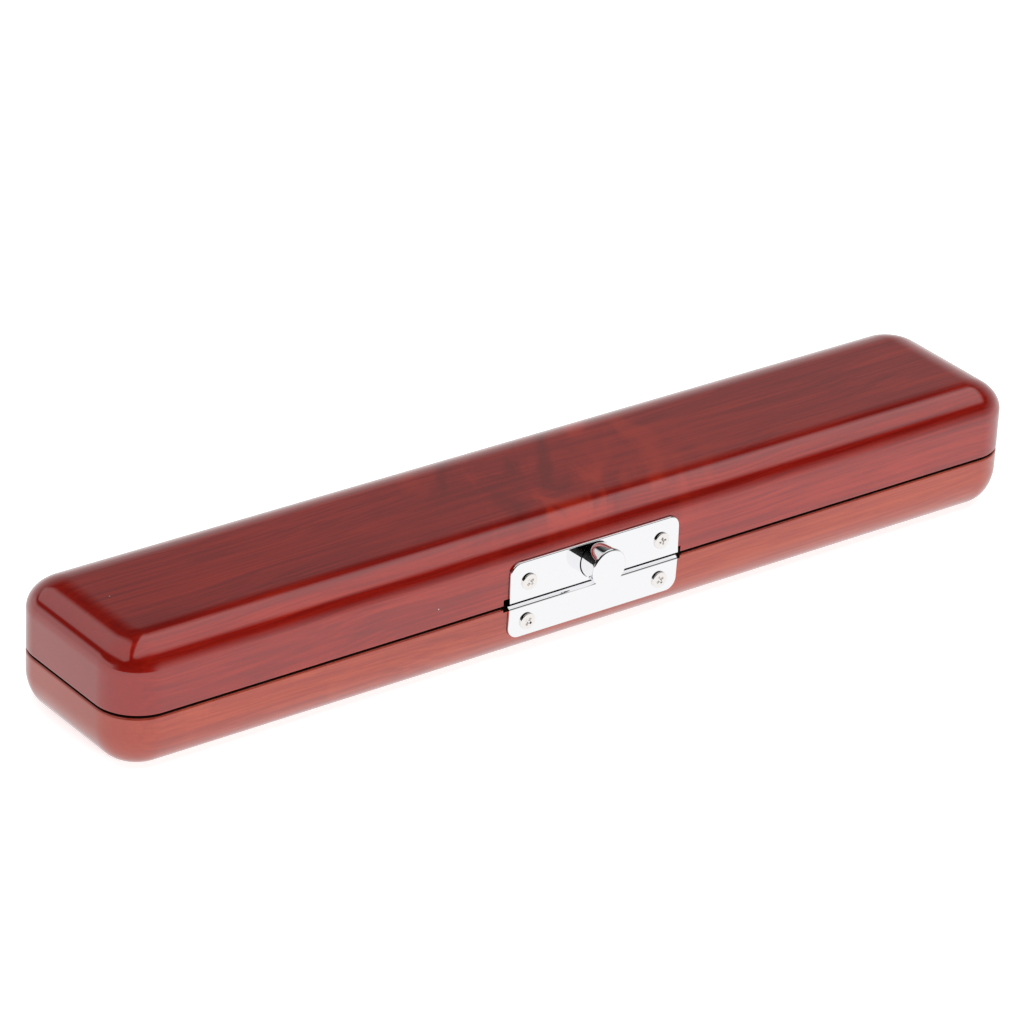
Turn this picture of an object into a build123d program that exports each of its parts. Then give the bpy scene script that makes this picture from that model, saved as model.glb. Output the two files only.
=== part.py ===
from build123d import *
import os

# Flute head joint case. Millimetres, +X along the case, +Y to the hinges, +Z up.
# The origin is the centre of the flat bottom that the case rests on.

# Wooden case
CASE_LENGTH = 262.0
CASE_WIDTH = 48.0
PLAN_CORNER = 11.0
WALL = 5.0
RIM_GAP = 0.6
RIM_CHAMFER = 0.3
BASE_HEIGHT = 14.3
BASE_CURVE_IN = 7.0
BASE_CURVE_UP = 9.5
BASE_FLOOR = 3.0
LID_HEIGHT = 16.9
LID_CURVE_IN = 10.5
LID_CURVE_UP = 7.2
LID_ROOF = 3.5
CAVITY_FILLET = 4.0

# Lining: foam covered with plush
FOAM_CLEARANCE = 0.15
PLUSH = 0.8
LINING_DROP = 0.6
TROUGH_RADIUS = 9.8
TROUGH_LENGTH = 228.0
LIP_POCKET_FROM_END = 54.0
LIP_POCKET_LENGTH = 34.0
LIP_POCKET_FRONT = 17.0
LIP_POCKET_BACK = 7.0
LIP_POCKET_DEPTH = 8.5
LIP_POCKET_FILLET = 3.0

# Latch plates
LATCH_X = -0.2
LATCH_LIFT = 0.4
LATCH_GAP = 0.9
PLATE_LENGTH = 49.4
PLATE_THICKNESS = 1.2
PLATE_SINK = 0.5
PLATE_CORNER = 3.0
PLATE_EDGE = 0.3
PLATE_SIDE_CLEARANCE = 0.1
UPPER_PLATE_TALL = 10.2
LOWER_PLATE_TALL = 8.5
LOWER_PLATE_BEND = 0.8
FLANGE_SHORT = 0.1
NOTCH_BEYOND = 1.3

# Push button
BUTTON_RADIUS = 4.85
BUTTON_NECK_RADIUS = 4.5
BUTTON_PROUD = 5.5
BUTTON_EDGE = 0.6
BUTTON_PLAY = 0.2
BUTTON_ABOVE_EDGE = 5.15
BUTTON_EAR_RADIUS = 5.6
BUTTON_EAR_TALL = 6.8
BUTTON_EAR_THICKNESS = 0.6
BUTTON_EAR_GAP = 0.05
BUTTON_STEM_RADIUS = 2.0
BUTTON_TRAVEL = 1.8
STEM_TO_SPRING = 0.25

# Catch behind the upper plate and strike on the lower one
STRIKE_BEHIND_PLATE = 2.8
STRIKE_THICKNESS = 0.8
STRIKE_WIDTH = 8.0
STRIKE_RISE = 2.6
STRIKE_LIP = 0.7
STRIKE_FOOT = 2.4
STRIKE_BEND = 0.3
STRIKE_SLOT_CLEARANCE = 0.2
WINDOW_SIDE = 2.5
HOUSING_HALF_LENGTH = 8.5
HOUSING_DEPTH = 8.6
HOUSING_WALL = 0.6
HOUSING_TALL = 8.4
HOUSING_CLEARANCE = 0.3
SPRING_THICKNESS = 0.4
SPRING_WIDTH = 6.0
SPRING_BEHIND_LIP = 0.7
SPRING_TOP_GAP = 0.5
SPRING_TAB = 2.8
SPRING_NOSE_UNDER = 0.5
SPRING_NOSE_GAP = 0.3
SPRING_BEND = 0.5
RIVET_RADIUS = 0.55
RIVET_HEAD_RADIUS = 1.0
RIVET_HEAD = 0.35
RIVET_PLAY = 0.05
RIVET_SPREAD = 3.2

# Screws
LATCH_SCREW_SPREAD = 38.8
UPPER_SCREW_ABOVE_EDGE = 4.75
LOWER_SCREW_BELOW_TOP = 4.75
SCREW_HEAD_RADIUS = 2.1
SCREW_HEAD_TALL = 0.6
SCREW_SHANK_RADIUS = 1.1
SCREW_REACH = 5.1
SCREW_PLAY = 0.1
PILOT_PLAY = 0.05
SCREW_DOME = 0.35
CROSS_LENGTH = 2.1
CROSS_WIDTH = 0.5
CROSS_DEPTH = 0.4

# Hinges at the back
HINGE_FROM_END = 49.0
HINGE_LENGTH = 26.0
HINGE_LEAF_TALL = 6.6
HINGE_THICKNESS = 1.0
HINGE_SINK = 0.5
HINGE_CORNER = 1.5
HINGE_SIDE_CLEARANCE = 0.1
KNUCKLES = 5
KNUCKLE_RADIUS = 1.7
KNUCKLE_GAP = 0.15
KNUCKLE_TO_WOOD = 0.15
KNUCKLE_TO_LEAF = 0.3
PIN_RADIUS = 0.75
PIN_PLAY = 0.05
PIN_HEAD_RADIUS = 1.2
PIN_HEAD = 0.5
PIN_HEAD_GAP = 0.05
HINGE_SCREW_SPREAD = 16.0
HINGE_SCREW_HEAD_RADIUS = 1.6
HINGE_SCREW_HEAD_TALL = 0.8
HINGE_SCREW_SHANK_RADIUS = 0.8
HINGE_SCREW_REACH = 4.9
HINGE_CROSS_LENGTH = 1.7
HINGE_CROSS_WIDTH = 0.4
HINGE_CROSS_DEPTH = 0.4

# Planes and lines that the pieces share
FRONT_Y = -CASE_WIDTH / 2
BACK_Y = CASE_WIDTH / 2
LID_RIM_Z = BASE_HEIGHT + RIM_GAP
PARTING_Z = BASE_HEIGHT + RIM_GAP / 2
CASE_HEIGHT = LID_RIM_Z + LID_HEIGHT

UPPER_PLATE_Z = PARTING_Z + LATCH_LIFT + LATCH_GAP / 2
LOWER_PLATE_Z = PARTING_Z + LATCH_LIFT - LATCH_GAP / 2
PLATE_BACK_Y = FRONT_Y + PLATE_SINK
PLATE_FRONT_Y = PLATE_BACK_Y - PLATE_THICKNESS
FLANGE_END_Y = FRONT_Y + WALL - FLANGE_SHORT
UPPER_FLANGE_TOP_Z = UPPER_PLATE_Z + PLATE_THICKNESS
LOWER_FLANGE_FOOT_Z = LOWER_PLATE_Z - PLATE_THICKNESS
WINDOW_HALF = STRIKE_WIDTH / 2 + WINDOW_SIDE

BUTTON_Z = UPPER_PLATE_Z + BUTTON_ABOVE_EDGE
STRIKE_Y = PLATE_BACK_Y + STRIKE_BEHIND_PLATE
STRIKE_BACK_Y = STRIKE_Y + STRIKE_THICKNESS
STRIKE_TOP_Z = PARTING_Z + STRIKE_RISE
SPRING_Y = STRIKE_BACK_Y + STRIKE_LIP + SPRING_BEHIND_LIP
HOUSING_BACK_Y = PLATE_BACK_Y + HOUSING_DEPTH
HOUSING_TOP_Z = UPPER_FLANGE_TOP_Z + HOUSING_TALL
RIVET_Z = HOUSING_TOP_Z - HOUSING_WALL - SPRING_TOP_GAP - SPRING_TAB / 2

HINGE_Y = BACK_Y + KNUCKLE_TO_WOOD + KNUCKLE_RADIUS
LEAF_BACK_Y = BACK_Y - HINGE_SINK
LEAF_FRONT_Y = LEAF_BACK_Y + HINGE_THICKNESS
LEAF_NEAR = KNUCKLE_RADIUS + KNUCKLE_TO_LEAF
LEAF_FAR = LEAF_NEAR + HINGE_LEAF_TALL
LEAF_SCREW = (LEAF_NEAR + LEAF_FAR) / 2
HINGE_SPREAD = CASE_LENGTH - 2 * HINGE_FROM_END

LIP_POCKET_X = LIP_POCKET_FROM_END - TROUGH_LENGTH / 2

BEYOND = 1.0


# Basic shapes

def block(x, y, z):
    """Box between two values on each axis."""
    size = Box(x[1] - x[0], y[1] - y[0], z[1] - z[0], align=(Align.MIN, Align.MIN, Align.MIN))
    return Pos(x[0], y[0], z[0]) * size


def rod_y(radius, x, y, z):
    """Round bar along Y from y[0] to y[1]."""
    bar = Cylinder(radius, y[1] - y[0], align=(Align.CENTER, Align.CENTER, Align.MIN))
    return Pos(x, y[0], z) * Rot(-90, 0, 0) * bar


def rod_x(radius, x, y, z):
    """Round bar along X from x[0] to x[1]."""
    bar = Cylinder(radius, x[1] - x[0], align=(Align.CENTER, Align.CENTER, Align.MIN))
    return Pos(x[0], y, z) * Rot(0, 90, 0) * bar


def flipped(solid):
    """The same solid upside down about the plane z = 0."""
    return mirror(solid, Plane.XY)


# Wooden case

def edge_section(reach, height, curve_in, curve_up):
    """Half of a cross section, from the middle out to the wall: bevelled rim, quarter ellipse at the top."""
    flank = height - curve_up
    curve = EllipticalCenterArc((reach - curve_in, flank), curve_in, curve_up, 0, arc_size=90)
    foot = Polyline((0, height), (0, 0), (reach - RIM_CHAMFER, 0))
    outline = foot + Polyline((reach - RIM_CHAMFER, 0), (reach, RIM_CHAMFER), (reach, flank))
    return make_face(outline + curve + Line(curve @ 1, (0, height)))


def curved_block(height, curve_in, curve_up):
    """A case half as a full block that stands on its rim, rounded at the corners and over the edge."""
    half_length = CASE_LENGTH / 2
    half_width = CASE_WIDTH / 2
    across = Plane.YZ * edge_section(half_width, height, curve_in, curve_up)
    along = Plane.XZ * edge_section(half_length, height, curve_in, curve_up)
    corner = revolve(Plane.XZ * edge_section(PLAN_CORNER, height, curve_in, curve_up), Axis.Z, 360)
    long_part = extrude(across, half_length - PLAN_CORNER, both=True)
    end_part = extrude(along, half_width - PLAN_CORNER, both=True)
    form = long_part + mirror(long_part, Plane.XZ) + end_part + mirror(end_part, Plane.YZ)
    corner_x = half_length - PLAN_CORNER
    corner_y = half_width - PLAN_CORNER
    for side_x in (-1, 1):
        for side_y in (-1, 1):
            form += Pos(side_x * corner_x, side_y * corner_y, 0) * corner
    return form


def cavity_form(depth, clearance):
    """What fills the hollow of a case half, standing on the rim plane, with a rounded far edge."""
    length = CASE_LENGTH - 2 * (WALL + clearance)
    width = CASE_WIDTH - 2 * (WALL + clearance)
    form = extrude(RectangleRounded(length, width, PLAN_CORNER - WALL - clearance), depth - clearance)
    return fillet(form.faces().sort_by(Axis.Z)[-1].edges(), CAVITY_FILLET - clearance)


def plate_seat(low, high, round_z):
    """Shallow flat seat for a latch plate in the front of the case, round at the plate's round corners."""
    half = PLATE_LENGTH / 2 + PLATE_SIDE_CLEARANCE
    seat = block((LATCH_X - half, LATCH_X + half), (FRONT_Y - BEYOND, PLATE_BACK_Y), (low, high))
    across = seat.edges().filter_by(Axis.Y)
    corners = [e for e in across if abs(e.center().Z - round_z) < PLATE_EDGE]
    return fillet(corners, PLATE_CORNER + PLATE_SIDE_CLEARANCE)


def rim_notch(low, high):
    """Opening through the front rim for the bent part of a latch plate, a little longer than the plate."""
    half = PLATE_LENGTH / 2 + NOTCH_BEYOND
    through = (FRONT_Y - BEYOND, FRONT_Y + WALL + BEYOND)
    return block((LATCH_X - half, LATCH_X + half), through, (low, high))


def hinge_seat(x, low, high):
    """Shallow flat seat for a hinge leaf in the back of the case."""
    half = HINGE_LENGTH / 2 + HINGE_SIDE_CLEARANCE
    return block((x - half, x + half), (LEAF_BACK_Y, BACK_Y + BEYOND), (low, high))


def latch_pilots(z):
    """Pilot holes for the two screws of a latch plate."""
    radius = SCREW_SHANK_RADIUS + PILOT_PLAY
    deep = PLATE_FRONT_Y + SCREW_REACH + PILOT_PLAY
    return [rod_y(radius, x, (FRONT_Y, deep), z) for x in latch_screw_places()]


def hinge_pilots(z):
    """Pilot holes for the screws of one row of hinge leaves."""
    radius = HINGE_SCREW_SHANK_RADIUS + PILOT_PLAY
    deep = LEAF_FRONT_Y - HINGE_SCREW_REACH - PILOT_PLAY
    return [rod_y(radius, x, (deep, BACK_Y), z) for x in hinge_screw_places()]


def lid_shell():
    shell = curved_block(LID_HEIGHT, LID_CURVE_IN, LID_CURVE_UP)
    shell -= cavity_form(LID_HEIGHT - LID_ROOF, 0)
    shell = Pos(0, 0, LID_RIM_Z) * shell
    seat_top = UPPER_PLATE_Z + UPPER_PLATE_TALL + PLATE_SIDE_CLEARANCE
    shell -= plate_seat(LID_RIM_Z - BEYOND, seat_top, seat_top)
    shell -= rim_notch(LID_RIM_Z - BEYOND, UPPER_FLANGE_TOP_Z)
    shell -= housing_room(FRONT_Y, FRONT_Y + WALL + BEYOND)
    for x in hinge_places():
        shell -= hinge_seat(x, LID_RIM_Z - BEYOND, PARTING_Z + LEAF_FAR + HINGE_SIDE_CLEARANCE)
    screw_z = UPPER_PLATE_Z + UPPER_SCREW_ABOVE_EDGE
    for pilot in latch_pilots(screw_z) + hinge_pilots(PARTING_Z + LEAF_SCREW):
        shell -= pilot
    return shell


def base_shell():
    shell = curved_block(BASE_HEIGHT, BASE_CURVE_IN, BASE_CURVE_UP)
    shell -= cavity_form(BASE_HEIGHT - BASE_FLOOR, 0)
    shell = Pos(0, 0, BASE_HEIGHT) * flipped(shell)
    seat_foot = LOWER_PLATE_Z - LOWER_PLATE_TALL - PLATE_SIDE_CLEARANCE
    shell -= plate_seat(seat_foot, BASE_HEIGHT + BEYOND, seat_foot)
    shell -= rim_notch(LOWER_FLANGE_FOOT_Z, BASE_HEIGHT + BEYOND)
    shell -= strike_room()
    for x in hinge_places():
        shell -= hinge_seat(x, PARTING_Z - LEAF_FAR - HINGE_SIDE_CLEARANCE, BASE_HEIGHT + BEYOND)
    screw_z = LOWER_PLATE_Z - LOWER_SCREW_BELOW_TOP
    for pilot in latch_pilots(screw_z) + hinge_pilots(PARTING_Z - LEAF_SCREW):
        shell -= pilot
    return shell


# Lining

def head_joint_room(grown):
    """Room for the tube and for its lip plate, which lies sideways towards the front, grown all round."""
    half = TROUGH_LENGTH / 2 + grown
    room = rod_x(TROUGH_RADIUS + grown, (-half, half), 0, PARTING_Z)
    pocket = block(
        (LIP_POCKET_X - LIP_POCKET_LENGTH / 2 - grown, LIP_POCKET_X + LIP_POCKET_LENGTH / 2 + grown),
        (-LIP_POCKET_FRONT - grown, LIP_POCKET_BACK + grown),
        (PARTING_Z - LIP_POCKET_DEPTH - grown, PARTING_Z + LIP_POCKET_DEPTH + grown),
    )
    return room + fillet(pocket.edges(), LIP_POCKET_FILLET + grown)


def base_filling(top, clearance):
    """Base hollow filled from the floor up to a level."""
    form = Pos(0, 0, BASE_HEIGHT) * flipped(cavity_form(BASE_HEIGHT - BASE_FLOOR, clearance))
    form = Pos(0, 0, -clearance) * form
    return form - above(top)


def lid_filling(low, clearance):
    """Lid hollow filled from a level up to the roof."""
    form = Pos(0, 0, LID_RIM_Z + clearance) * cavity_form(LID_HEIGHT - LID_ROOF, clearance)
    return form - below(low) - housing_room(FRONT_Y, HOUSING_BACK_Y + RIVET_HEAD + HOUSING_CLEARANCE)


def above(z):
    """All space over a level."""
    return block((-CASE_LENGTH, CASE_LENGTH), (-CASE_WIDTH, CASE_WIDTH), (z, z + CASE_HEIGHT))


def below(z):
    """All space under a level."""
    return block((-CASE_LENGTH, CASE_LENGTH), (-CASE_WIDTH, CASE_WIDTH), (z - CASE_HEIGHT, z))


def base_foam():
    return base_filling(BASE_HEIGHT - LINING_DROP - PLUSH, FOAM_CLEARANCE) - head_joint_room(PLUSH)


def base_velvet():
    whole = base_filling(BASE_HEIGHT - LINING_DROP, FOAM_CLEARANCE) - head_joint_room(0)
    return whole - base_foam()


def lid_foam():
    return lid_filling(LID_RIM_Z + LINING_DROP + PLUSH, FOAM_CLEARANCE) - head_joint_room(PLUSH)


def lid_velvet():
    whole = lid_filling(LID_RIM_Z + LINING_DROP, FOAM_CLEARANCE) - head_joint_room(0)
    return whole - lid_foam()


# Screws

def latch_screw_places():
    return [LATCH_X - LATCH_SCREW_SPREAD / 2, LATCH_X + LATCH_SCREW_SPREAD / 2]


def hinge_places():
    return [-HINGE_SPREAD / 2, HINGE_SPREAD / 2]


def hinge_screw_places():
    half = HINGE_SCREW_SPREAD / 2
    return [x + side * half for x in hinge_places() for side in (-1, 1)]


def pan_screw(head_radius, head_tall, shank_radius, reach, dome, cross):
    """Pan head screw along -Z, the underside of its head at z = 0, with a cross recess."""
    head = Cylinder(head_radius, head_tall, align=(Align.CENTER, Align.CENTER, Align.MIN))
    head = fillet(head.faces().sort_by(Axis.Z)[-1].edges(), dome)
    length, width, depth = cross
    for turn in (45, 135):
        head -= Pos(0, 0, head_tall - depth / 2) * Rot(0, 0, turn) * Box(length, width, depth)
    return head + Cylinder(shank_radius, reach, align=(Align.CENTER, Align.CENTER, Align.MAX))


def latch_screws(z):
    """The two screws of a latch plate, heads to the front."""
    cross = (CROSS_LENGTH, CROSS_WIDTH, CROSS_DEPTH)
    screw = pan_screw(
        SCREW_HEAD_RADIUS, SCREW_HEAD_TALL, SCREW_SHANK_RADIUS, SCREW_REACH, SCREW_DOME, cross
    )
    return Compound([Pos(x, PLATE_FRONT_Y, z) * Rot(90, 0, 0) * screw for x in latch_screw_places()])


def hinge_screws(z):
    """Four screws of the hinge leaves on one case half, heads to the back."""
    cross = (HINGE_CROSS_LENGTH, HINGE_CROSS_WIDTH, HINGE_CROSS_DEPTH)
    screw = pan_screw(
        HINGE_SCREW_HEAD_RADIUS,
        HINGE_SCREW_HEAD_TALL,
        HINGE_SCREW_SHANK_RADIUS,
        HINGE_SCREW_REACH,
        HINGE_SCREW_HEAD_TALL / 2,
        cross,
    )
    return Compound([Pos(x, LEAF_FRONT_Y, z) * Rot(-90, 0, 0) * screw for x in hinge_screw_places()])


# Latch

def latch_plate(low, high, round_z, flange_z):
    """Flat plate with one pair of rounded corners and a flange that goes in along the rim."""
    half = PLATE_LENGTH / 2
    span = (LATCH_X - half, LATCH_X + half)
    plate = block(span, (PLATE_FRONT_Y, PLATE_BACK_Y), (low, high))
    across = plate.edges().filter_by(Axis.Y)
    plate = fillet([e for e in across if abs(e.center().Z - round_z) < PLATE_EDGE], PLATE_CORNER)
    return plate + block(span, (PLATE_FRONT_Y, FLANGE_END_Y), flange_z)


def soften_front(plate, radius, away_from):
    """Rounds the front outline of a plate, apart from its edge at one height."""
    outline = plate.faces().sort_by(Axis.Y)[0].outer_wire().edges()
    return fillet([e for e in outline if abs(e.center().Z - away_from) > radius], radius)


def screw_holes(z):
    """Clearance holes for the two screws of a latch plate."""
    radius = SCREW_SHANK_RADIUS + SCREW_PLAY
    through = (PLATE_FRONT_Y - BEYOND, PLATE_BACK_Y + BEYOND / 2)
    return [rod_y(radius, x, through, z) for x in latch_screw_places()]


def latch_upper_plate():
    top = UPPER_PLATE_Z + UPPER_PLATE_TALL
    plate = latch_plate(UPPER_PLATE_Z, top, top, (UPPER_PLATE_Z, UPPER_FLANGE_TOP_Z))
    plate = soften_front(plate, PLATE_EDGE, UPPER_PLATE_Z)
    through = (PLATE_FRONT_Y - BEYOND, PLATE_BACK_Y)
    plate -= rod_y(BUTTON_NECK_RADIUS + BUTTON_PLAY, LATCH_X, through, BUTTON_Z)
    plate -= block(
        (LATCH_X - WINDOW_HALF, LATCH_X + WINDOW_HALF),
        (PLATE_BACK_Y, FLANGE_END_Y + BEYOND),
        (UPPER_PLATE_Z - BEYOND, UPPER_FLANGE_TOP_Z + BEYOND),
    )
    for hole in screw_holes(UPPER_PLATE_Z + UPPER_SCREW_ABOVE_EDGE):
        plate -= hole
    return plate


def latch_lower_plate():
    low = LOWER_PLATE_Z - LOWER_PLATE_TALL
    plate = latch_plate(low, LOWER_PLATE_Z, low, (LOWER_FLANGE_FOOT_Z, LOWER_PLATE_Z))
    bend = plate.edges().filter_by(Axis.X).sort_by(Axis.Z)[-2:].sort_by(Axis.Y)[0]
    plate = fillet(bend, LOWER_PLATE_BEND)
    plate = soften_front(plate, PLATE_EDGE, LOWER_PLATE_Z - LOWER_PLATE_BEND)
    slot = STRIKE_WIDTH / 2 + STRIKE_SLOT_CLEARANCE
    plate -= block(
        (LATCH_X - slot, LATCH_X + slot),
        (STRIKE_Y - STRIKE_SLOT_CLEARANCE, STRIKE_BACK_Y + STRIKE_SLOT_CLEARANCE),
        (LOWER_FLANGE_FOOT_Z - BEYOND, LOWER_PLATE_Z + BEYOND),
    )
    for x, y in strike_rivet_places():
        plate -= Pos(x, y, LOWER_FLANGE_FOOT_Z) * rivet_hole(PLATE_THICKNESS)
    for hole in screw_holes(LOWER_PLATE_Z - LOWER_SCREW_BELOW_TOP):
        plate -= hole
    return plate


def push_button():
    """Round button, a little wider at its front, with two ears behind the plate and a stem to the spring."""
    ear_y = PLATE_BACK_Y + BUTTON_EAR_GAP
    ear_end_y = ear_y + BUTTON_EAR_THICKNESS
    upright = (Align.CENTER, Align.CENTER, Align.MIN)
    head = Cone(BUTTON_RADIUS, BUTTON_NECK_RADIUS, BUTTON_PROUD, align=upright)
    head = fillet(head.faces().sort_by(Axis.Z)[0].edges(), BUTTON_EDGE)
    head = Pos(LATCH_X, PLATE_FRONT_Y - BUTTON_PROUD, BUTTON_Z) * Rot(-90, 0, 0) * head
    head += rod_y(BUTTON_NECK_RADIUS, LATCH_X, (PLATE_FRONT_Y, ear_end_y), BUTTON_Z)
    ears = rod_y(BUTTON_EAR_RADIUS, LATCH_X, (ear_y, ear_end_y), BUTTON_Z) & block(
        (LATCH_X - BUTTON_EAR_RADIUS, LATCH_X + BUTTON_EAR_RADIUS),
        (ear_y, ear_end_y),
        (BUTTON_Z - BUTTON_EAR_TALL / 2, BUTTON_Z + BUTTON_EAR_TALL / 2),
    )
    stem_end = SPRING_Y - STEM_TO_SPRING
    return head + ears + rod_y(BUTTON_STEM_RADIUS, LATCH_X, (ear_end_y, stem_end), BUTTON_Z)


def housing_room(front, back):
    """Room for the catch housing, open towards the rim."""
    half = HOUSING_HALF_LENGTH + HOUSING_CLEARANCE
    top = HOUSING_TOP_Z + HOUSING_CLEARANCE
    return block((LATCH_X - half, LATCH_X + half), (front, back), (PARTING_Z, top))


def latch_housing():
    """Folded sheet box behind the upper plate, open at the front and below."""
    half = HOUSING_HALF_LENGTH
    box = block(
        (LATCH_X - half, LATCH_X + half),
        (PLATE_BACK_Y, HOUSING_BACK_Y),
        (UPPER_FLANGE_TOP_Z, HOUSING_TOP_Z),
    )
    box -= block(
        (LATCH_X - half + HOUSING_WALL, LATCH_X + half - HOUSING_WALL),
        (PLATE_BACK_Y - BEYOND, HOUSING_BACK_Y - HOUSING_WALL),
        (UPPER_FLANGE_TOP_Z - BEYOND, HOUSING_TOP_Z - HOUSING_WALL),
    )
    pressed_y = PLATE_BACK_Y + BUTTON_EAR_GAP + BUTTON_EAR_THICKNESS + BUTTON_TRAVEL + BUTTON_PLAY
    box -= rod_y(BUTTON_RADIUS + HOUSING_CLEARANCE, LATCH_X, (PLATE_BACK_Y - BEYOND, pressed_y), BUTTON_Z)
    back_wall = (HOUSING_BACK_Y - BEYOND, HOUSING_BACK_Y + BEYOND)
    for x in catch_rivet_places():
        box -= rod_y(RIVET_RADIUS + RIVET_PLAY, x, back_wall, RIVET_Z)
    return box


def bent_strip(points, thickness, bend, width):
    """Strip bent along a line of (y, z) points, as wide as given along X and centred on the latch."""
    line = FilletPolyline(*points, radius=bend)
    strip = extrude(Plane.YZ * trace(line, thickness), width / 2, both=True)
    return Pos(LATCH_X, 0, 0) * strip


def catch_spring():
    """Spring steel leaf: tab on the housing's back wall, long arm down, nose under the strike."""
    middle = SPRING_THICKNESS / 2
    tab_y = HOUSING_BACK_Y - HOUSING_WALL - middle
    arm_y = SPRING_Y + middle
    top_z = HOUSING_TOP_Z - HOUSING_WALL - SPRING_TOP_GAP
    nose_z = STRIKE_TOP_Z - STRIKE_THICKNESS - SPRING_NOSE_GAP - middle
    points = [
        (tab_y, top_z - SPRING_TAB),
        (tab_y, top_z),
        (arm_y, top_z),
        (arm_y, nose_z),
        (STRIKE_BACK_Y + STRIKE_LIP - SPRING_NOSE_UNDER, nose_z),
    ]
    strip = bent_strip(points, SPRING_THICKNESS, SPRING_BEND, SPRING_WIDTH)
    for x in catch_rivet_places():
        strip -= rod_y(RIVET_RADIUS + RIVET_PLAY, x, (tab_y - BEYOND, tab_y + BEYOND), RIVET_Z)
    return strip


def catch_rivet_places():
    return [LATCH_X - RIVET_SPREAD / 2, LATCH_X + RIVET_SPREAD / 2]


def strike_rivet_places():
    y = STRIKE_Y - STRIKE_FOOT / 2
    return [(x, y) for x in catch_rivet_places()]


def rivet(grip):
    """Rivet along +Z that holds sheets of a total thickness, its lower head under z = 0."""
    shank = Cylinder(RIVET_RADIUS, grip, align=(Align.CENTER, Align.CENTER, Align.MIN))
    head = Cylinder(RIVET_HEAD_RADIUS, RIVET_HEAD, align=(Align.CENTER, Align.CENTER, Align.MIN))
    return shank + Pos(0, 0, -RIVET_HEAD) * head, Pos(0, 0, grip) * head


def rivet_hole(deep):
    """Clearance hole for a rivet, upwards from z = 0, with room for a head sunk flush at its top."""
    hole = Cylinder(RIVET_RADIUS + RIVET_PLAY, deep, align=(Align.CENTER, Align.CENTER, Align.MIN))
    sink_radius = RIVET_HEAD_RADIUS + RIVET_PLAY
    sink = Cylinder(sink_radius, RIVET_HEAD, align=(Align.CENTER, Align.CENTER, Align.MAX))
    return hole + Pos(0, 0, deep) * sink


def catch_rivets():
    """Two rivets through the housing's back wall and the spring's tab."""
    grip = HOUSING_WALL + SPRING_THICKNESS
    body, head = rivet(grip)
    turned = Rot(90, 0, 0) * (body + head)
    return Compound([Pos(x, HOUSING_BACK_Y, RIVET_Z) * turned for x in catch_rivet_places()])


def strike_rivets():
    """Two rivets through the strike's foot and the lower plate's flange, sunk flush on top."""
    grip = STRIKE_THICKNESS + PLATE_THICKNESS
    body, head = rivet(grip - RIVET_HEAD)
    z = LOWER_FLANGE_FOOT_Z - STRIKE_THICKNESS
    return Compound([Pos(x, y, z) * (body + head) for x, y in strike_rivet_places()])


def strike_hook():
    """Tongue that stands up through the lower plate's flange, with a lip at the back for the catch."""
    middle = STRIKE_THICKNESS / 2
    foot_z = LOWER_FLANGE_FOOT_Z - middle
    up_y = STRIKE_Y + middle
    points = [
        (STRIKE_Y - STRIKE_FOOT, foot_z),
        (up_y, foot_z),
        (up_y, STRIKE_TOP_Z - middle),
        (STRIKE_BACK_Y + STRIKE_LIP, STRIKE_TOP_Z - middle),
    ]
    hook = bent_strip(points, STRIKE_THICKNESS, middle + STRIKE_BEND / 2, STRIKE_WIDTH)
    for x, y in strike_rivet_places():
        shank = Cylinder(RIVET_RADIUS + RIVET_PLAY, BEYOND * 2)
        hook -= Pos(x, y, foot_z) * shank
    return hook


def strike_room():
    """Room in the base's front wall for the strike's foot and its rivet heads."""
    half = STRIKE_WIDTH / 2 + STRIKE_SLOT_CLEARANCE
    floor = LOWER_FLANGE_FOOT_Z - STRIKE_THICKNESS - RIVET_HEAD - RIVET_PLAY
    front = STRIKE_Y - STRIKE_FOOT - STRIKE_SLOT_CLEARANCE
    back = FRONT_Y + WALL + BEYOND
    return block((LATCH_X - half, LATCH_X + half), (front, back), (floor, BASE_HEIGHT))


# Hinges

def knuckle_spans(x):
    """Start and end of every knuckle of the hinge at x."""
    pitch = HINGE_LENGTH / KNUCKLES
    left = x - HINGE_LENGTH / 2
    half_gap = KNUCKLE_GAP / 2
    return [(left + i * pitch + half_gap, left + (i + 1) * pitch - half_gap) for i in range(KNUCKLES)]


def knuckle_web():
    """Cross section that joins a knuckle to the leaf over it, with y and z measured from the hinge axis."""
    back = LEAF_BACK_Y - HINGE_Y
    front = LEAF_FRONT_Y - HINGE_Y
    points = [
        (back, LEAF_NEAR + HINGE_THICKNESS),
        (back, LEAF_NEAR - HINGE_THICKNESS),
        (-KNUCKLE_RADIUS + PIN_RADIUS / 2, KNUCKLE_RADIUS / 3),
        (0, KNUCKLE_RADIUS),
        (front, LEAF_NEAR + HINGE_THICKNESS),
    ]
    return make_face(Polyline(*points, close=True))


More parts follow.
